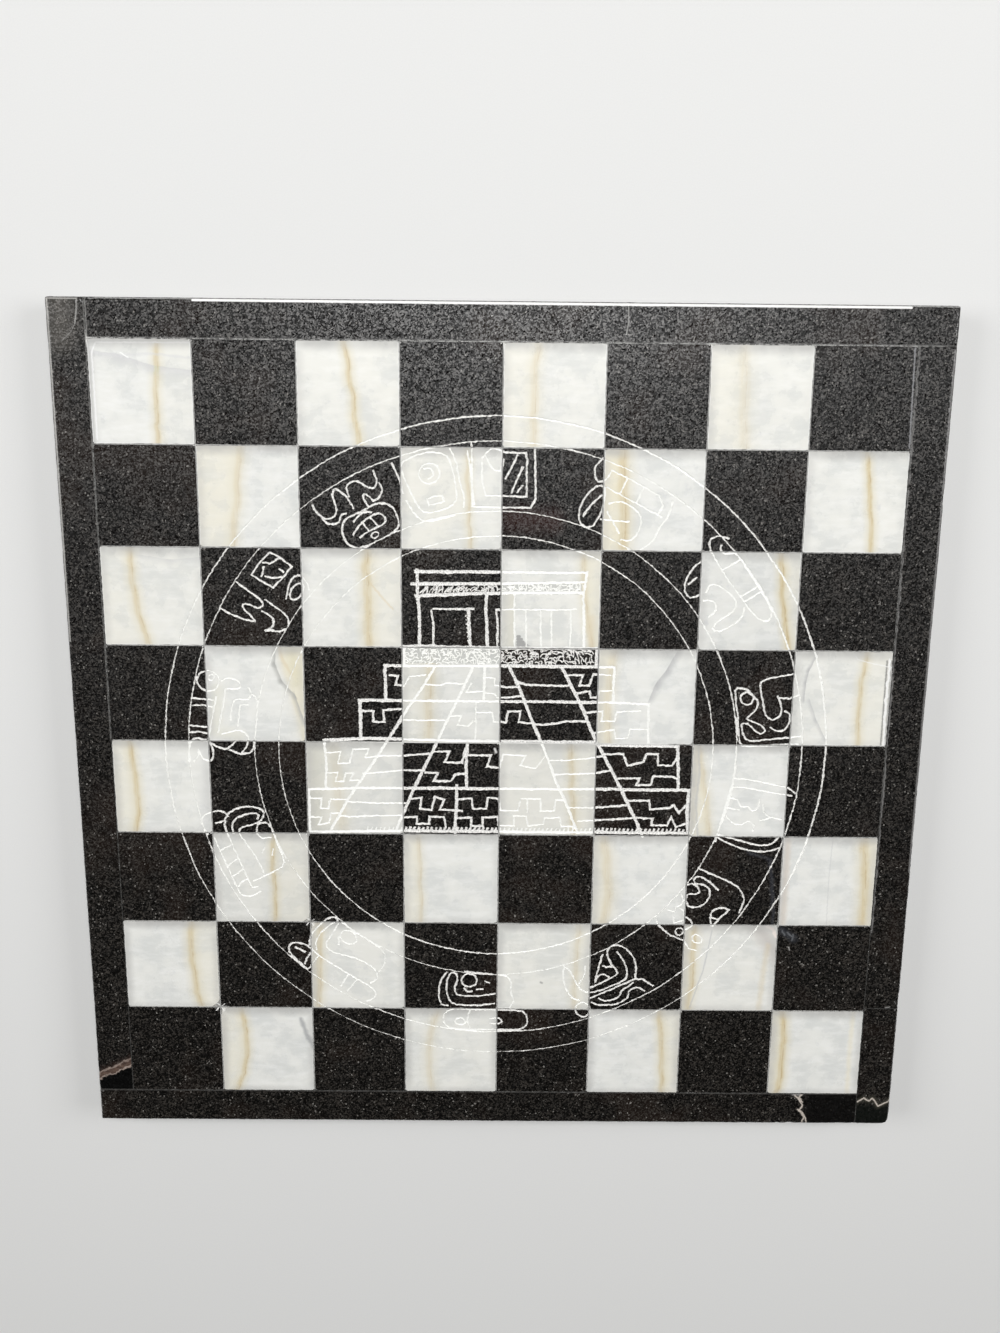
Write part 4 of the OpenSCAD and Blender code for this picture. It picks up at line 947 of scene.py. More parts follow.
# where a stone has lost a bigger flake: the place, how far along the edge it reaches, and its depth
FLAKES = [
    (-87.0, -87.0, 2.6, 1.1),
    (-58.0, -58.0, 2.2, 0.9),
    (127.0, -83.6, 2.6, 1.3),
    (127.0, 73.8, 1.6, 0.7),
    (90.8, -127.0, 0.9, 0.5),
    (94.7, -127.0, 1.0, 0.5),
    (-114.4, 126.6, 1.2, 0.6),
]


def chip(x, y):
    """How far the edge of a stone is chipped back at a point."""
    long = noise.noise(Vector((x, y, 0.7)) / (4 * MM))
    short = noise.noise(Vector((x, y, 0.9)) / (1.1 * MM))
    depth = max(0.0, 0.05 + 0.10 * short + 0.08 * long)
    for at_x, at_y, reach, deep in FLAKES:
        away = math.hypot(x / MM - at_x, y / MM - at_y) / reach
        depth = max(depth, deep * (1 - away * away))
    return depth * MM


def worn(x, y, low, high, inwards=None):
    """Where a point of a stone's top lies once it is cut and chipped. Points on a side stay on it."""
    gaps = (x - low.x, high.x - x, y - low.y, high.y - y)
    stray_x, stray_y = hand(x, y)
    if inwards:
        thin = thinning(x, y) * MM * mitred(inwards)
        stray_x, stray_y = stray_x + thin.x, stray_y + thin.y
    stray_x *= min(1, min(gaps[0], gaps[1]) / CHIP_BAND)
    stray_y *= min(1, min(gaps[2], gaps[3]) / CHIP_BAND)
    inward = ((1, 0), (-1, 0), (0, 1), (0, -1))
    depth = chip(x, y)
    for gap, (to_x, to_y) in zip(gaps, inward):
        share = max(0, 1 - gap / (CHIP_BAND + 2 * depth))
        stray_x += to_x * share * depth
        stray_y += to_y * share * depth
    return x + stray_x, y + stray_y


def blunted(place, low, high):
    """Where a point goes when each corner of a stone is worn round by a radius of its own."""
    for x, inward_x in ((low.x, 1), (high.x, -1)):
        for y, inward_y in ((low.y, 1), (high.y, -1)):
            lots = random.Random(round((x * PRIMES[0] + y * PRIMES[1]) / MM))
            crossing = (round(x / MM), round(y / MM))
            radius = ROUND_CORNERS.get(crossing, lots.choice(CORNER_RADII)) * MM
            centre = Vector((x + radius * inward_x, y + radius * inward_y))
            off = Vector(place) - centre
            if off.x * inward_x < 0 and off.y * inward_y < 0:
                return tuple(centre + off * max(abs(off.x), abs(off.y)) / off.length)
    return place


# %% The outline of a stone
def corners_between(low, high):
    """The corners of a stone, anticlockwise from the lower left one."""
    return [(low.x, low.y), (high.x, low.y), (high.x, high.y), (low.x, high.y)]


def outline_points(low, high, marks):
    """Points round a stone, anticlockwise: its corners, even steps and the marks where grooves end."""
    steps = round(stone_w / (1.2 * STEP))
    loop = []
    for start, end in round_trip(corners_between(low, high)):
        run = Vector(end) - Vector(start)
        row = [(k / steps, tuple(Vector(start) + run * k / steps)) for k in range(steps)]
        for mark in marks:
            reach = Vector(mark) - Vector(start)
            share = reach.dot(run) / run.length_squared
            if (reach - share * run).length < TOUCH and 0.0001 < share < 0.9999:
                row = [r for r in row if r[0] == 0 or abs(r[0] - share) * run.length > 0.25 * STEP]
                row.append((share, mark))
        loop += [place for share, place in sorted(row)]
    return loop


# %% Fine scratches of the two bands and the dots by the door
# Only the big strokes are taken from the frame. The scribble that fills the bands, and a row of
# drilled dots inside the left door, are added here: each is a short path with a half width, in
# millimetres. Of a few random places a stroke takes the one that lies furthest from the others.
# A stroke goes on in steps, and no scratch reaches further than a limit from its first point.
STROKE_STEP = 0.36
SCRATCH_REACH = 2.3


def scribble(seed, band, start, end, count, lean, spread, curl, half_width, steps):
    """Short curling strokes in the part of a band between two x. Angles are in degrees."""
    lots = random.Random(seed)
    corners = BANDS[band]
    (_, low), (_, high) = extent(corners)
    strokes, taken = [], []
    while len(strokes) < count:
        spots = [(lots.uniform(start, end), lots.uniform(low, high)) for k in range(10)]
        x, y = max(spots, key=lambda spot: min([math.dist(spot, other) for other in taken], default=0))
        angle = math.radians(lots.gauss(lean, spread))
        turn = math.radians(lots.uniform(-curl, curl))
        path = [(x, y)]
        for step in range(steps):
            x, y = x + STROKE_STEP * math.cos(angle), y + STROKE_STEP * math.sin(angle)
            path.append((x, y))
            angle += turn
        if all(in_shape(*p, corners) for p in path[:-1]):
            strokes.append((path, half_width * lots.uniform(0.8, 1.2)))
            taken.append(path[len(path) // 2])
    return strokes


SCRATCHES = (
    scribble(11, "roof", -23.4, -12.5, 22, 60, 7, 10, 0.17, 6)
    + scribble(12, "roof", -13.0, 0.0, 25, 45, 60, 50, 0.17, 5)
    + scribble(13, "roof", 0.0, 23.4, 62, 60, 60, 45, 0.15, 5)
    + scribble(14, "terrace", -28.0, 0.0, 130, 50, 50, 45, 0.16, 5)
    + scribble(15, "terrace", 0.0, 9.0, 32, 50, 60, 60, 0.17, 5)
    + scribble(16, "terrace", 9.0, 15.0, 21, 20, 60, 70, 0.19, 5)
    + scribble(17, "terrace", 15.0, 27.8, 44, 125, 30, 25, 0.17, 6)
    + [([(-10.3 + 0.115 * k, 38.6 - 1.23 * k)], 0.24) for k in range(7)]
)


def scratch_outline(path, half_width):
    """A closed polygon round a path: a dot for a single point."""
    if len(path) == 1:
        x, y = path[0]
        turns = [math.radians(45 * k) for k in range(8)]
        return [(x + half_width * math.cos(t), y + half_width * math.sin(t)) for t in turns]
    left, right = [], []
    for k, here in enumerate(path):
        before, after = Vector(path[max(0, k - 1)]), Vector(path[min(len(path) - 1, k + 1)])
        run = (after - before).normalized() * half_width
        left.append((here[0] - run.y, here[1] + run.x))
        right.append((here[0] + run.y, here[1] - run.x))
    tip = (Vector(path[-1]) - Vector(path[-2])).normalized() * half_width
    tail = (Vector(path[0]) - Vector(path[1])).normalized() * half_width
    end, start = tuple(Vector(path[-1]) + tip), tuple(Vector(path[0]) + tail)
    return [start, *right, end, *reversed(left)]


def in_scratch(place, scratches):
    """Whether a place lies in one of the scratches."""
    spot = Vector((place.x, place.y)) / MM
    for path, half_width in scratches:
        if max(abs(spot.x - path[0][0]), abs(spot.y - path[0][1])) > SCRATCH_REACH:
            continue
        for start, end in zip(path, path[1:] or path):
            start, end = Vector(start), Vector(end)
            run = end - start
            share = min(1, max(0, (spot - start).dot(run) / max(run.length_squared, 1e-9)))
            if (spot - start - share * run).length < 0.95 * half_width:
                return True
    return False


# %% Which triangles lie in a groove
def cut_faces(faces, inside, fixed, first_place, tree, scratches):
    """Asks the frame which triangles lie in a groove. Those between fixed edges vote together."""
    beside, votes, areas = {}, {}, {}
    for k in inside:
        for edge in round_trip(faces[k]):
            beside.setdefault(frozenset(edge), []).append(k)
        a, b, c = (first_place[v] for v in faces[k])
        middle = (a + b + c) / 3
        hit = tree.ray_cast((middle.x, middle.y, face_z + MM), (0, 0, -1))[0]
        grooved = (hit is None or hit.z < face_z - 0.02 * MM) and not in_band(middle.x, middle.y)
        votes[k] = grooved or in_scratch(middle, scratches)
        areas[k] = abs((b - a).cross(c - a))
    cut, left = {}, set(inside)
    while left:
        region, to_visit = [], [left.pop()]
        while to_visit:
            k = to_visit.pop()
            region.append(k)
            for edge in round_trip(faces[k]):
                if frozenset(edge) not in fixed:
                    for other in beside[frozenset(edge)]:
                        if other in left:
                            left.discard(other)
                            to_visit.append(other)
        yes = sum(areas[k] for k in region if votes[k])
        no = sum(areas[k] for k in region if not votes[k])
        for k in region:
            cut[k] = votes[k] if min(yes, no) > 0.4 * MM * MM else yes > no
    return cut, beside


# %% The borders of the bands on a stone
def stepped(start, end, step):
    """Places from start up to, but not including, end."""
    count = max(1, round((end - start).length / step))
    return [start + (end - start) * k / count for k in range(count)]


def band_borders(low, high):
    """The border of each band, in steps, where it crosses the stone between two corners."""
    rows = []
    for corners in BANDS.values():
        ends = [Vector(c) * MM for c in corners]
        for start, end in round_trip(ends):
            row = [tuple(p) for p in stepped(start, end, STEP)] + [tuple(end)]
            row = [p for p in row if low.x - STEP < p[0] < high.x + STEP and low.y < p[1] < high.y]
            if len(row) > 1:
                rows.append(row)
    return rows


# %% Filling a plan, and walking round a ring
def triangulated(plan, moved_plan, edges, loop):
    """Fills a plan whose points have moved. Returns the triangles' points, where these were before,
    the edges, the faces, and which given edges and loops the edges and faces come from."""
    places, all_edges, faces, old_points, old_edges, old_faces = delaunay_2d_cdt(
        moved_plan, edges, [loop], 0, 0.0001 * MM, True
    )
    before = [Vector(plan[old[0]]) if old else places[k] for k, old in enumerate(old_points)]
    return places, before, all_edges, faces, old_edges, old_faces


def walk(onward, start):
    """The points of a ring from start on, where onward gives the next point of each."""
    ring = [start]
    while onward[ring[-1]] != start:
        ring.append(onward[ring[-1]])
        assert len(ring) <= len(onward), "this outline never comes back to its start"
    return ring


def put_in_place(piece_name, build, finishes, node):
    """Makes the bmesh build a piece that replaces a node of the frame."""
    data = bpy.data.meshes.new(piece_name)
    build.to_mesh(data)
    build.free()
    for finish in finishes:
        data.materials.append(finish)
    piece = bpy.data.objects.new(piece_name, data)
    scene.collection.objects.link(piece)
    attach(piece, "root")
    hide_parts(node)
    return piece


# %% The plan of a stone
def stone_plan(mesh, low, high, scratches):
    """Every edge on the face of a stone, in steps: the points, the edges between them, the outline,
    and for each point of a groove's edge the ways into the groove."""
    plan, edges, index = [], [], {}

    def point(place):
        key = (round(place[0], 7), round(place[1], 7))
        if key not in index:
            index[key] = len(plan)
            plan.append(place)
        return index[key]

    rims = rim_edges(mesh, low, high)
    marks = [
        p for p in {p for rim in rims for p in rim[:2]}
        if min(p[0] - low.x, high.x - p[0], p[1] - low.y, high.y - p[1]) < TOUCH
    ]
    loop = [point(p) for p in outline_points(low, high, marks)]
    edges += round_trip(loop)
    inwards = {}
    for start, end, way in rims:
        run = Vector(end) - Vector(start)
        steps = max(1, math.ceil(run.length / STEP))
        row = [point(start)]
        row += [point(tuple(Vector(start) + run * k / steps)) for k in range(1, steps)]
        row.append(point(end))
        edges += [(a, b) for a, b in zip(row, row[1:]) if a != b]
        for k in row:
            inwards.setdefault(k, []).append(way)
    for scratch in scratches:
        row = [point((x * MM, y * MM)) for x, y in scratch_outline(*scratch)]
        edges += round_trip(row)
    for row in band_borders(low, high):
        row = [point(p) for p in row]
        edges += zip(row, row[1:])
    return plan, edges, loop, inwards


# %% Making one stone
SHOULDER = 0.6 * MM


def close_below(build, onward, shoulder, first_place, corners):
    """Adds the straight sides of a stone, from its shoulder down, and its underside."""
    feet = [build.verts.new((c.x, c.y, stone_z)) for c in corners]
    starts = [min(onward, key=lambda k: (first_place[k] - c).length) for c in corners]
    ring = walk(onward, starts[0])
    for n in range(4):
        begin, end = ring.index(starts[n]), ring.index(starts[(n + 1) % 4])
        row = ring[begin : end + 1] if end > begin else ring[begin:] + ring[: end + 1]
        build.faces.new([shoulder[k] for k in reversed(row)] + [feet[n], feet[(n + 1) % 4]])
    build.faces.new([feet[0], feet[3], feet[2], feet[1]])
    if len(ring) != len(onward):
        print(f"stone at {corners[0] / MM}: {len(onward) - len(ring)} stray points")


def cut_stone(build, mesh, tree, low, high, scratches):
    """Adds the stone between two corners to the bmesh build, its grooves cut by hand."""
    plan, edges, loop, inwards = stone_plan(mesh, low, high, scratches)
    worn_plan = [
        Vector(worn(*blunted(place, low, high), low, high, inwards.get(k)))
        for k, place in enumerate(plan)
    ]
    places, first_place, all_edges, faces, old_edges, old_faces = triangulated(
        plan, worn_plan, edges, loop
    )
    fixed = {
        frozenset(edge) for edge, old in zip(all_edges, old_edges) if any(k < len(edges) for k in old)
    }
    inside = [k for k, old in enumerate(old_faces) if old]
    cut, beside = cut_faces(faces, inside, fixed, first_place, tree, scratches)
    made = {}

    def corner(k, low_down):
        if (k, low_down) not in made:
            x, y = places[k]
            crushed = 0.05 * MM * noise.noise(Vector((x, y, 0.5)) / (0.8 * MM))
            made[k, low_down] = build.verts.new((x, y, groove_z + crushed if low_down else face_z))
        return made[k, low_down]

    for k in inside:
        build.faces.new([corner(v, cut[k]) for v in faces[k]]).material_index = int(cut[k])
    onward, shoulder = {}, {}
    corners = [Vector(p) for p in corners_between(low, high)]
    for edge, sides in beside.items():
        for k in sides:
            a, b = next(pair for pair in round_trip(faces[k]) if set(pair) == edge)
            if len(sides) == 1:
                onward[a] = b
                for end in (a, b):
                    if end not in shoulder:
                        below = (first_place[end].x, first_place[end].y, face_z - SHOULDER)
                        shoulder[end] = build.verts.new(below)
                wall = [corner(b, cut[k]), corner(a, cut[k])]
                if not cut[k] and (a, True) in made:
                    wall.append(made[a, True])
                wall += [shoulder[a], shoulder[b]]
                if not cut[k] and (b, True) in made:
                    wall.append(made[b, True])
                away = min((first_place[a] - c).length for c in corners)
                build.faces.new(wall).material_index = int(away < 0.5 * MM)
            elif not cut[k] and any(cut[other] for other in sides):
                wall = [corner(b, False), corner(a, False), corner(a, True), corner(b, True)]
                build.faces.new(wall).material_index = 1
    close_below(build, onward, shoulder, first_place, corners)


# %% Crushed stone in the grooves
def crushed_stone(name, light, dark, flecks):
    """The frosted floor of a groove. flecks is the share of it that still shows the stone."""
    wires = Finish(name, Roughness=0.85, IOR=1.5)
    colour = wires.mix(wires.ramp(wires.noise(wires.place, 0.5 * MM, detail=3), 0.3, 0.7), light, dark)
    left = wires.ramp(wires.noise(wires.place, 0.35 * MM, detail=2), 0.62 - flecks, 0.70 - flecks)
    shown = (0.03, 0.028, 0.025, 1) if flecks else dark
    wires.show(Base_Color=wires.mix(wires.times(left, 0.6), colour, shown))
    return wires.material


crushed_on_black = crushed_stone("crushed_marble", (0.92, 0.91, 0.88, 1), (0.62, 0.61, 0.59, 1), 0.02)
crushed_on_white = crushed_stone("crushed_onyx", (0.93, 0.93, 0.90, 1), (0.85, 0.85, 0.82, 1), 0.0)


# %% All the stones of the field
def squares_of(node):
    """(file, rank) of each stone in a node, counted from 0."""
    if node.startswith("white_square_"):
        return [file_and_rank(node[-2:])]
    rank = int(node[-1]) - 1
    return [(file, rank) for file in range(8) if (file + rank) % 2 == 0]


def hand_cut(node, piece_name, stone, crushed):
    """Replaces a node of the frame by the same stones, cut by hand."""
    mesh = merged_copy(node)
    tree = BVHTree.FromBMesh(mesh)
    build = bmesh.new()
    for file, rank in squares_of(node):
        low = corner_of(file, rank)
        high = low + Vector((stone_w, stone_w, 0))
        scratches = [
            (path, half_width) for path, half_width in SCRATCHES
            if any(low.x < x * MM < high.x and low.y < y * MM < high.y for x, y in path)
        ]
        cut_stone(build, mesh, tree, low, high, scratches)
    mesh.free()
    return put_in_place(piece_name, build, (stone, crushed), node)


field = [
    hand_cut(f"white_square_{square}", f"onyx_{square}", onyx, crushed_on_white)
    for square, onyx in onyxes.items()
]
field += [
    hand_cut(
        f"black_squares_rank_{rank}",
        f"marble_rank_{rank}",
        marbles["field"],
        crushed_on_black,
    )
    for rank in range(1, 9)
]
print(f"{len(field)} pieces, {sum(len(p.data.polygons) for p in field)} faces")

# %% [markdown]
# ## The border strips
# Five strips of the same marble close the field. Their outer edges are eased to a quarter round,
# which the saw has bruised to a pale line, and their inner edges are chipped like the squares.
# Painted highlights in the marble's colour add the easing's reflection of the softboxes, and
# lighten the inner seams at the far end.
# The frame gives each strip's plan. The plan is cut into short steps and filled with triangles, with
# extra lines along the easing, and every point is then set to the height of the eased edge there.

# %% Making one strip
outer_edge = [v.co.z for v in nodes["border_left"].data.vertices if v.co.x < TOUCH - half_board]
strip_arris = face_z - max(outer_edge)
EASE_LINES = [share * strip_arris for share in (0.06, 0.18, 0.36, 0.60, 1.0, 1.3)]
print(f"outer edges are eased by {strip_arris / MM:.2f} mm")


def foot_outline(mesh):
    """The outline of a solid's underside, anticlockwise."""
    onward = {}
    for face in mesh.faces:
        if face.normal.z < -LEVEL:
            for loop in face.loops:
                if loop.link_loop_radial_next.face.normal.z > -LEVEL:
                    onward[loop.link_loop_next.vert] = loop.vert
    return [Vector((v.co.x, v.co.y)) for v in walk(onward, next(iter(onward)))]


def onto_outline(place, outline):
    """The nearest place on an outline."""
    near = []
    for a, b in round_trip(outline):
        share = min(1, max(0, (place - a).dot(b - a) / (b - a).length_squared))
        near.append(a + share * (b - a))
    return min(near, key=lambda p: (p - place).length)


def eased_height(x, y):
    """Height of the eased face of the board at a place."""
    drop = 0
    for inset in (half_board - abs(x), half_board - abs(y)):
        share = min(1, max(0, inset / strip_arris))
        drop = max(drop, strip_arris * (1 - math.sqrt(1 - (1 - share) ** 2)))
    return face_z - drop


def hand_made_strip(node, piece_name, stone):
    """Replaces a strip of the frame by one with chipped edges and a round easing."""
    mesh = merged_copy(node)
    outline = foot_outline(mesh)
    mesh.free()
    low, high = (Vector(ends) for ends in extent(outline))
    loop = [q for a, b in round_trip(outline) for q in stepped(a, b, 1.2 * STEP)]
    plan, edges = list(loop), round_trip(list(range(len(loop))))
    for inset in EASE_LINES:
        reach = half_board - inset
        for axis, side in ((0, -reach), (0, reach), (1, -reach), (1, reach)):
            if not low[axis] < side < high[axis]:
                continue
            start, end = low.copy(), high.copy()
            start[axis] = end[axis] = side
            row = stepped(start, end, 2 * STEP)[1:]
            edges += [(len(plan) + k, len(plan) + k + 1) for k in range(len(row) - 1)]
            plan += row
    worn_plan = [Vector(worn(p.x, p.y, low, high)) for p in plan]
    places, first_place, _, faces, _, old_faces = triangulated(
        plan, worn_plan, edges, list(range(len(loop)))
    )
    faces = [face for face, old in zip(faces, old_faces) if old]
    build = bmesh.new()
    top = [
        build.verts.new((place.x, place.y, eased_height(first.x, first.y)))
        for place, first in zip(places, first_place)
    ]
    for face in faces:
        corners = [top[k] for k in face]
        build.faces.new(corners).smooth = min(v.co.z for v in corners) < face_z
    sides = {pair: None for face in faces for pair in round_trip(face)}
    onward = {a: b for a, b in sides if (b, a) not in sides}
    ring = walk(onward, next(iter(onward)))
    shoulder, foot = {}, {}
    for k in ring:
        at = onto_outline(first_place[k], outline)
        top[k].co.z = eased_height(at.x, at.y)
        step_z = min(face_z - SHOULDER, top[k].co.z - 0.5 * SHOULDER)
        shoulder[k] = build.verts.new((at.x, at.y, step_z))
        foot[k] = build.verts.new((at.x, at.y, stone_z))
    for a, b in round_trip(ring):
        build.faces.new([top[b], top[a], shoulder[a], shoulder[b]])
        build.faces.new([shoulder[b], shoulder[a], foot[a], foot[b]])
    build.faces.new([foot[k] for k in reversed(ring)])
    for vert in [v for v in build.verts if not v.link_faces]:
        build.verts.remove(vert)
    return put_in_place(piece_name, build, (stone,), node)


strips = [
    hand_made_strip(part, part.replace("border", "strip"), stone)
    for part, stone in marbles.items()
    if part != "field"
]
print(f"{len(strips)} strips, {sum(len(p.data.polygons) for p in strips)} faces")

# %% [markdown]
# ## The resin in the seams
# Resin holds the stones and fills the seams to just under the face. The polishing rubbed white
# stone dust into it, so that the seams of the field are pale. The seams along the strips have dust
# in patches, and a painted highlight makes them pale at the far end, where the light catches them,
# and grey at the near one. A long line of the picture runs along the middle seam and has filled that
# one with dust too. Deeper down, and on the sides of the bed, the resin is bare. It keeps its shape
# from the frame, and the finish decides by place how much dust and painted highlight shows.

# %% Resin and slab
resin = Finish("seam_resin", IOR=1.5)
axes = resin.axes(resin.place)
across, up = (resin.math("ABSOLUTE", axes[axis]) for axis in "XY")
outer = resin.ramp(resin.larger(across, up), half_field - 0.5 * MM, half_field - 0.3 * MM)
inner = resin.math("SUBTRACT", 1.0, outer)
patches = resin.noise(resin.place, 1.3 * MM, detail=4, roughness=0.7)
# painted highlight: the seams along the strips are paler towards the far end
far_end_light = resin.ramp(axes["Y"], -half_field, half_field, 0.10, 0.5)
at_sides = resin.ramp(across, half_field - 0.5 * MM, half_field - 0.3 * MM, 1.0, 0.5)
along_strips = resin.times(resin.times(resin.ramp(patches, 0.40, 0.58), far_end_light), at_sides)
foot = resin.times(resin.ramp(up, 0.8 * MM, 0.5 * MM), resin.ramp(across, 52 * MM, 50 * MM))
in_field = resin.larger(resin.ramp(patches, 0.30, 0.60, 0.22, 0.62), foot)
dust_and_highlight = resin.math("ADD", resin.times(along_strips, outer), resin.times(in_field, inner))
for x, y in ROUND_CORNERS:
    dust_and_highlight = resin.larger(dust_and_highlight, path_mask(resin, [(x - 0.6, y - 1.2), (x + 0.6, y - 0.2)], 2.4, 0.2))
dust_and_highlight = resin.times(dust_and_highlight, resin.ramp(axes["Z"], face_z - 1.2 * MM, face_z - 0.5 * MM))
bare = resin.noise(resin.place, 2 * MM, detail=3)
dark = resin.mix(bare, (0.012, 0.012, 0.011, 1), (0.04, 0.038, 0.035, 1))
resin.show(
    Base_Color=resin.mix(dust_and_highlight, dark, (0.66, 0.655, 0.63, 1)),
    Roughness=resin.math("MULTIPLY_ADD", dust_and_highlight, 0.4, 0.35),
)

slab = Finish("cast_slab", IOR=1.5)
cloudy = slab.noise(slab.place, 6 * MM, detail=5, roughness=0.6)
colour = slab.mix(slab.ramp(cloudy, 0.35, 0.65), (0.020, 0.019, 0.018, 1), (0.085, 0.081, 0.075, 1))
pits = slab.add("ShaderNodeTexVoronoi", {"Vector": slab.place, "Scale": 1 / (1.4 * MM)})
# the pits are painted darker than the slab: painted shade in their hollows, which the bump sinks
pit = slab.ramp(pits.outputs["Distance"], 0.24, 0.12)
slab.show(
    Base_Color=slab.mix(pit, colour, (0.008, 0.008, 0.008, 1)),
    Normal=slab.bump(pit, 0.6, 0.1 * MM, invert=True),
    Roughness=slab.math("MULTIPLY_ADD", cloudy, 0.2, 0.6),
)

for part, finish in (("resin_bed", resin), ("backing_slab", slab)):
    nodes[part].data.materials.clear()
    nodes[part].data.materials.append(finish.material)
print("resin and slab:", resin.material.name, slab.material.name)

# %% [markdown]
# ## Crumbs along the seams
# In the seams round the field, and in the joints of the strips, the polishing also left crumbs of
# white stone. They repeat and follow a path, so Geometry Nodes lay them: points at even steps along
# the seam lines stray a little to each side, a noise field picks the stretches that have crumbs,
# and each of those points gets a small faceted stone of its own size and turn. The instances are
# made real at the end, because a baked model keeps no instances.

# %% Geometry Nodes helpers
def geometry_tree(name, inputs):
    """A Geometry Nodes tree with {input: default}. Returns the tree, its wiring and what it is given."""
    tree = bpy.data.node_groups.new(name, "GeometryNodeTree")
    tree.interface.new_socket("Guide", in_out="INPUT", socket_type="NodeSocketGeometry")
    for label, default in inputs.items():
        kind = "NodeSocketInt" if isinstance(default, int) else "NodeSocketFloat"
        tree.interface.new_socket(label, in_out="INPUT", socket_type=kind).default_value = default
    tree.interface.new_socket("Finish", in_out="INPUT", socket_type="NodeSocketMaterial")
    tree.interface.new_socket("Result", in_out="OUTPUT", socket_type="NodeSocketGeometry")
    wires = Wiring(tree)
    return tree, wires, wires.add("NodeGroupInput").outputs


def random_vector(wires, low, high, seed):
    plugs = {0: low, 1: high, 8: seed}
    return wires.add("FunctionNodeRandomValue", plugs, data_type="FLOAT_VECTOR").outputs[0]


def random_number(wires, low, high, seed):
    plugs = {2: low, 3: high, 8: seed}
    return wires.add("FunctionNodeRandomValue", plugs, data_type="FLOAT").outputs[1]


def strewn(wires, given, low, high):
    """Points at even steps along the guide, each strayed by a random vector between two others."""
    line = wires.add("GeometryNodeMeshToCurve", {0: given["Guide"]}).outputs[0]
    plugs = {"Curve": line, "Length": given["Spacing"]}
    points = wires.add("GeometryNodeCurveToPoints", plugs, mode="LENGTH").outputs[0]
    offset = random_vector(wires, low, high, given["Seed"])
    return wires.add("GeometryNodeSetPosition", {"Geometry": points, "Offset": offset}).outputs[0]


def end_tree(wires, given, points, selection, shape, rotation, scale):
    """Places the shape on the points, makes it real, gives it its finish and ends the tree."""
    plugs = {"Points": points, "Selection": selection, "Instance": shape}
    plugs.update({"Rotation": rotation, "Scale": scale})
    placed = wires.add("GeometryNodeInstanceOnPoints", plugs).outputs[0]
    real = wires.add("GeometryNodeRealizeInstances", {0: placed}).outputs[0]
    done = wires.add("GeometryNodeSetMaterial", {"Geometry": real, "Material": given["Finish"]})
    wires.add("NodeGroupOutput", {0: done.outputs[0]})


def grown(piece_name, lines, tree, finish, slot, **values):
    """Runs a tree on some lines, each a row of places, and keeps the result as a plain mesh."""
    guide = bpy.data.meshes.new(piece_name)
    places = [place for line in lines for place in line]
    steps, first = [], 0
    for line in lines:
        steps += [(first + k, first + k + 1) for k in range(len(line) - 1)]
        first += len(line)
    guide.from_pydata(places, steps, [])
    piece = bpy.data.objects.new(piece_name, guide)
    scene.collection.objects.link(piece)
    modifier = piece.modifiers.new("growth", "NODES")
    modifier.node_group = tree
    values["Finish"] = finish
    for socket in tree.interface.items_tree:
        if socket.in_out == "INPUT" and socket.name in values:
            modifier[socket.identifier] = values[socket.name]
    graph = bpy.context.evaluated_depsgraph_get()
    plain = bpy.data.meshes.new_from_object(piece.evaluated_get(graph))
    piece.modifiers.remove(modifier)
    piece.data = plain
    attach(piece, "root")
    print(f"{piece_name}: {len(plain.polygons)} faces")
    return piece


# %% Tree of the crumbs
crumb_tree, wires, given = geometry_tree(
    "seam_crumbs",
    {"Spacing": 0.3 * MM, "Smallest": 0.04 * MM, "Largest": 0.14 * MM, "Spread": 0.15 * MM, "Seed": 1},
)
spread = wires.joined(given["Spread"], given["Spread"], 0.03 * MM)
strayed = strewn(wires, given, wires.scaled(spread, -1.0), spread)
here = wires.add("GeometryNodeInputPosition").outputs[0]
patchy = wires.noise(here, 5 * MM, detail=3)
wanted = wires.ramp(wires.axes(here)["Y"], -half_field, half_field, 0.36, 0.50)
chosen = wires.add("FunctionNodeCompare", {0: patchy, 1: wanted}, operation="LESS_THAN").outputs[0]
stone = wires.add("GeometryNodeMeshIcoSphere", {"Radius": 1.0, "Subdivisions": 1}).outputs[0]
seeds = [wires.math("ADD", given["Seed"], k) for k in (1, 2, 3)]
turn = random_vector(wires, (0, 0, 0), (6.28, 6.28, 6.28), seeds[0])
size = random_number(wires, given["Smallest"], given["Largest"], seeds[1])
shape = random_vector(wires, (0.6, 0.6, 0.5), (1.2, 1.2, 1.0), seeds[2])
end_tree(wires, given, strayed, chosen, stone, turn, wires.scaled(shape, size))

# %% Laying the crumbs
crumb = Finish("crumb_stone", IOR=1.5)
speck = crumb.noise(crumb.place, 0.3 * MM, detail=2)
crumb.show(
    Base_Color=crumb.mix(speck, (0.86, 0.855, 0.83, 1), (0.55, 0.545, 0.53, 1)),
    Roughness=crumb.math("MULTIPLY_ADD", speck, 0.3, 0.45),
)

resin_top = max(v.co.z for v in nodes["resin_bed"].data.vertices)
joint_y = (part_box("border_right")[0].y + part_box("border_right_end")[1].y) / 2
reach = half_board - strip_arris


def crumb_lines(*lines):
    """Rows of places, just over the resin, from rows of (x, y)."""
    return [[(x, y, resin_top + 0.04 * MM) for x, y in line] for line in lines]


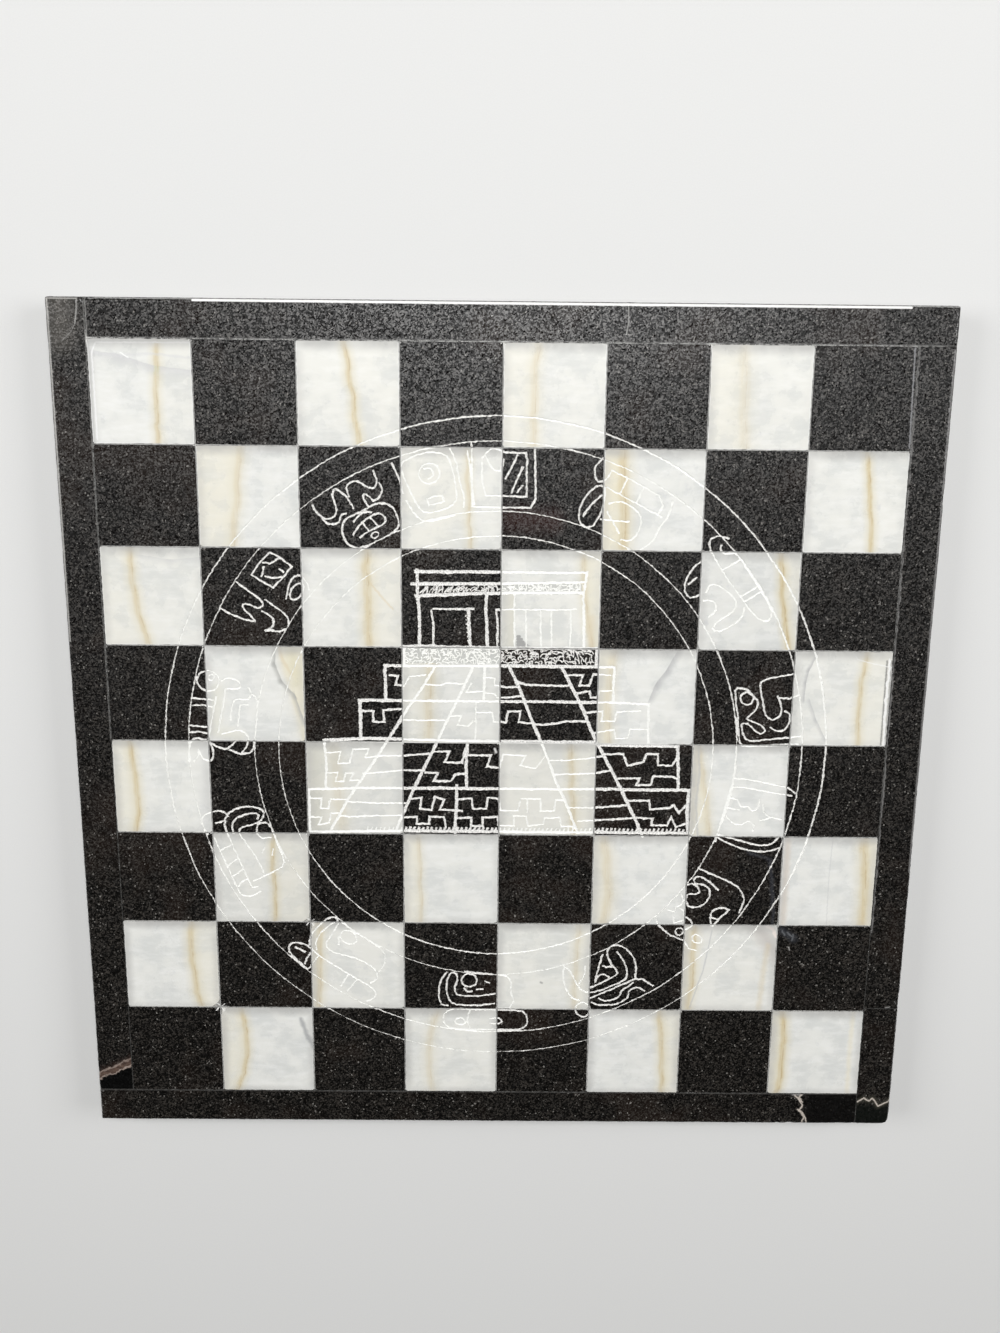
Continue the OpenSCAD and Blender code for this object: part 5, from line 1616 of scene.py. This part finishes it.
far_lines = crumb_lines([(-half_field, half_field), (reach, half_field)])
side_lines = crumb_lines(
    [(half_field, half_field), (half_field, -reach)],
    [(half_field, -half_field), (-reach, -half_field)],
    [(-half_field, -half_field), (-half_field, reach)],
    [(half_field, joint_y), (reach, joint_y)],
)
sparse = {"Spacing": 0.8 * MM, "Largest": 0.1 * MM}
grown("far_crumbs", far_lines, crumb_tree, crumb.material, "white_onyx")
grown("side_crumbs", side_lines, crumb_tree, crumb.material, "white_onyx", **sparse)

# %% [markdown]
# ## The felt
# A sheet of wool felt is glued under the slab so that the stone doesn't scratch a table. It is a
# sheet of cloth, 1.2 mm thick, laid flat. A plain box would show: cut felt has a slightly wavy edge
# and a dimpled face, and loose fibres stand out of the cut. The sheet is a mesh whose outline comes
# from the frame, and Geometry Nodes set the fibres along its edge.

# %% Felt finish
felt = Finish("wool_felt", Roughness=0.95, IOR=1.45, Sheen_Weight=0.2, Sheen_Roughness=0.5)
combing = {"Vector": felt.place, "Rotation": (0, 0, math.radians(35)), "Scale": (1, 0.3, 1)}
combed = felt.add("ShaderNodeMapping", combing).outputs[0]
fibres = felt.noise(combed, 0.3 * MM, detail=4, roughness=0.7, distortion=1.5)
tufts = felt.noise(felt.place, 3 * MM, detail=4)
colour = felt.mix(felt.ramp(fibres, 0.3, 0.7), (0.006, 0.030, 0.016, 1), (0.034, 0.115, 0.066, 1))
colour = felt.mix(felt.ramp(tufts, 0.35, 0.7, 0.0, 0.6), colour, (0.010, 0.048, 0.028, 1))
felt.show(Base_Color=colour, Normal=felt.bump(fibres, 0.6, 0.15 * MM))

# %% Felt sheet
FELT_STEP = 3 * MM
# how much smaller the two faces are than the waist of the cut edge
FACE_SHARE = 0.999
felt_low, felt_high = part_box("felt_sheet")
felt_w = felt_high.x - felt_low.x
middle_z = (felt_low.z + felt_high.z) / 2


def felt_sheet():
    """The felt: its outline wavers, its underside is dimpled and its cut edge bulges a little."""
    frame_felt = merged_copy("felt_sheet")
    outline = foot_outline(frame_felt)
    frame_felt.free()
    loop = [q for a, b in round_trip(outline) for q in stepped(a, b, FELT_STEP / 3)]
    waver = [0.15 * MM * (0.5 + noise.noise(Vector((p.x, p.y, 0.4)) / (7 * MM))) for p in loop]
    loop = [p * (1 - w / p.length) for p, w in zip(loop, waver)]
    count = int(felt_w / FELT_STEP) - 1
    rows = [(k - count / 2) * FELT_STEP for k in range(count + 1)]
    inner = [Vector((x, y)) for x in rows for y in rows]
    inner = [p for p in inner if max(abs(p.x), abs(p.y)) < felt_high.x - 0.6 * FELT_STEP]
    rim = list(range(len(loop)))
    places, _, faces, _, _, _ = delaunay_2d_cdt(
        loop + inner, round_trip(rim), [rim], 1, 0.0001 * MM, False
    )
    build = bmesh.new()

    def layer(z, dimple):
        """A layer of points at a height, dimpled by at most a depth."""
        points = []
        for p in places:
            pressed = 0.5 + 0.5 * noise.noise(Vector((p.x, p.y, 1.2)) / (4 * MM))
            place = (p.x * FACE_SHARE, p.y * FACE_SHARE, z + dimple * pressed)
            points.append(build.verts.new(place))
        return points

    under, over = layer(felt_low.z, 0.10 * MM), layer(felt_high.z, 0.0)
    for face in faces:
        build.faces.new([under[k] for k in reversed(face)]).smooth = True
        build.faces.new([over[k] for k in face])
    waist = [build.verts.new((places[k].x, places[k].y, middle_z)) for k in rim]
    for k, n in round_trip(rim):
        build.faces.new([under[k], under[n], waist[n], waist[k]])
        build.faces.new([waist[k], waist[n], over[n], over[k]])
    bmesh.ops.triangulate(build, faces=build.faces)
    return put_in_place("felt", build, (felt.material,), "felt_sheet"), loop


felt_piece, felt_edge = felt_sheet()
print(f"felt {felt_w / MM:.1f} mm square, {len(felt_piece.data.polygons)} faces")

# %% Fibres along the felt's edge
fibre_tree, wires, given = geometry_tree(
    "felt_fibres",
    {
        "Spacing": 0.35 * MM,
        "Shortest": 0.25 * MM,
        "Longest": 0.9 * MM,
        "Thickness": 0.02 * MM,
        "Seed": 5,
    },
)
strayed = strewn(wires, given, (0, 0, -0.25 * MM), (0, 0, 0.4 * MM))
tapered = {"Vertices": 3, "Radius Top": 0.2, "Radius Bottom": 1.0, "Depth": 1.0}
strand = wires.add("GeometryNodeMeshCone", tapered).outputs[0]
here = wires.add("GeometryNodeInputPosition").outputs[0]
outwards = wires.vector("NORMALIZE", wires.vector("MULTIPLY", here, (1, 1, 0)))
seeds = [wires.math("ADD", given["Seed"], k) for k in (1, 2)]
stray = random_vector(wires, (-1, -1, -0.25), (1, 1, 0.25), seeds[0])
aim = wires.vector("ADD", outwards, stray)
turn = wires.add("FunctionNodeAlignRotationToVector", {"Vector": aim}, axis="Z").outputs[0]
length = random_number(wires, given["Shortest"], given["Longest"], seeds[1])
size = wires.joined(given["Thickness"], given["Thickness"], length)
end_tree(wires, given, strayed, True, strand, turn, size)
edge_line = [[(p.x, p.y, middle_z) for p in felt_edge + felt_edge[:1]]]
felt_fibres = grown("felt_fibres", edge_line, fibre_tree, felt.material, "felt")
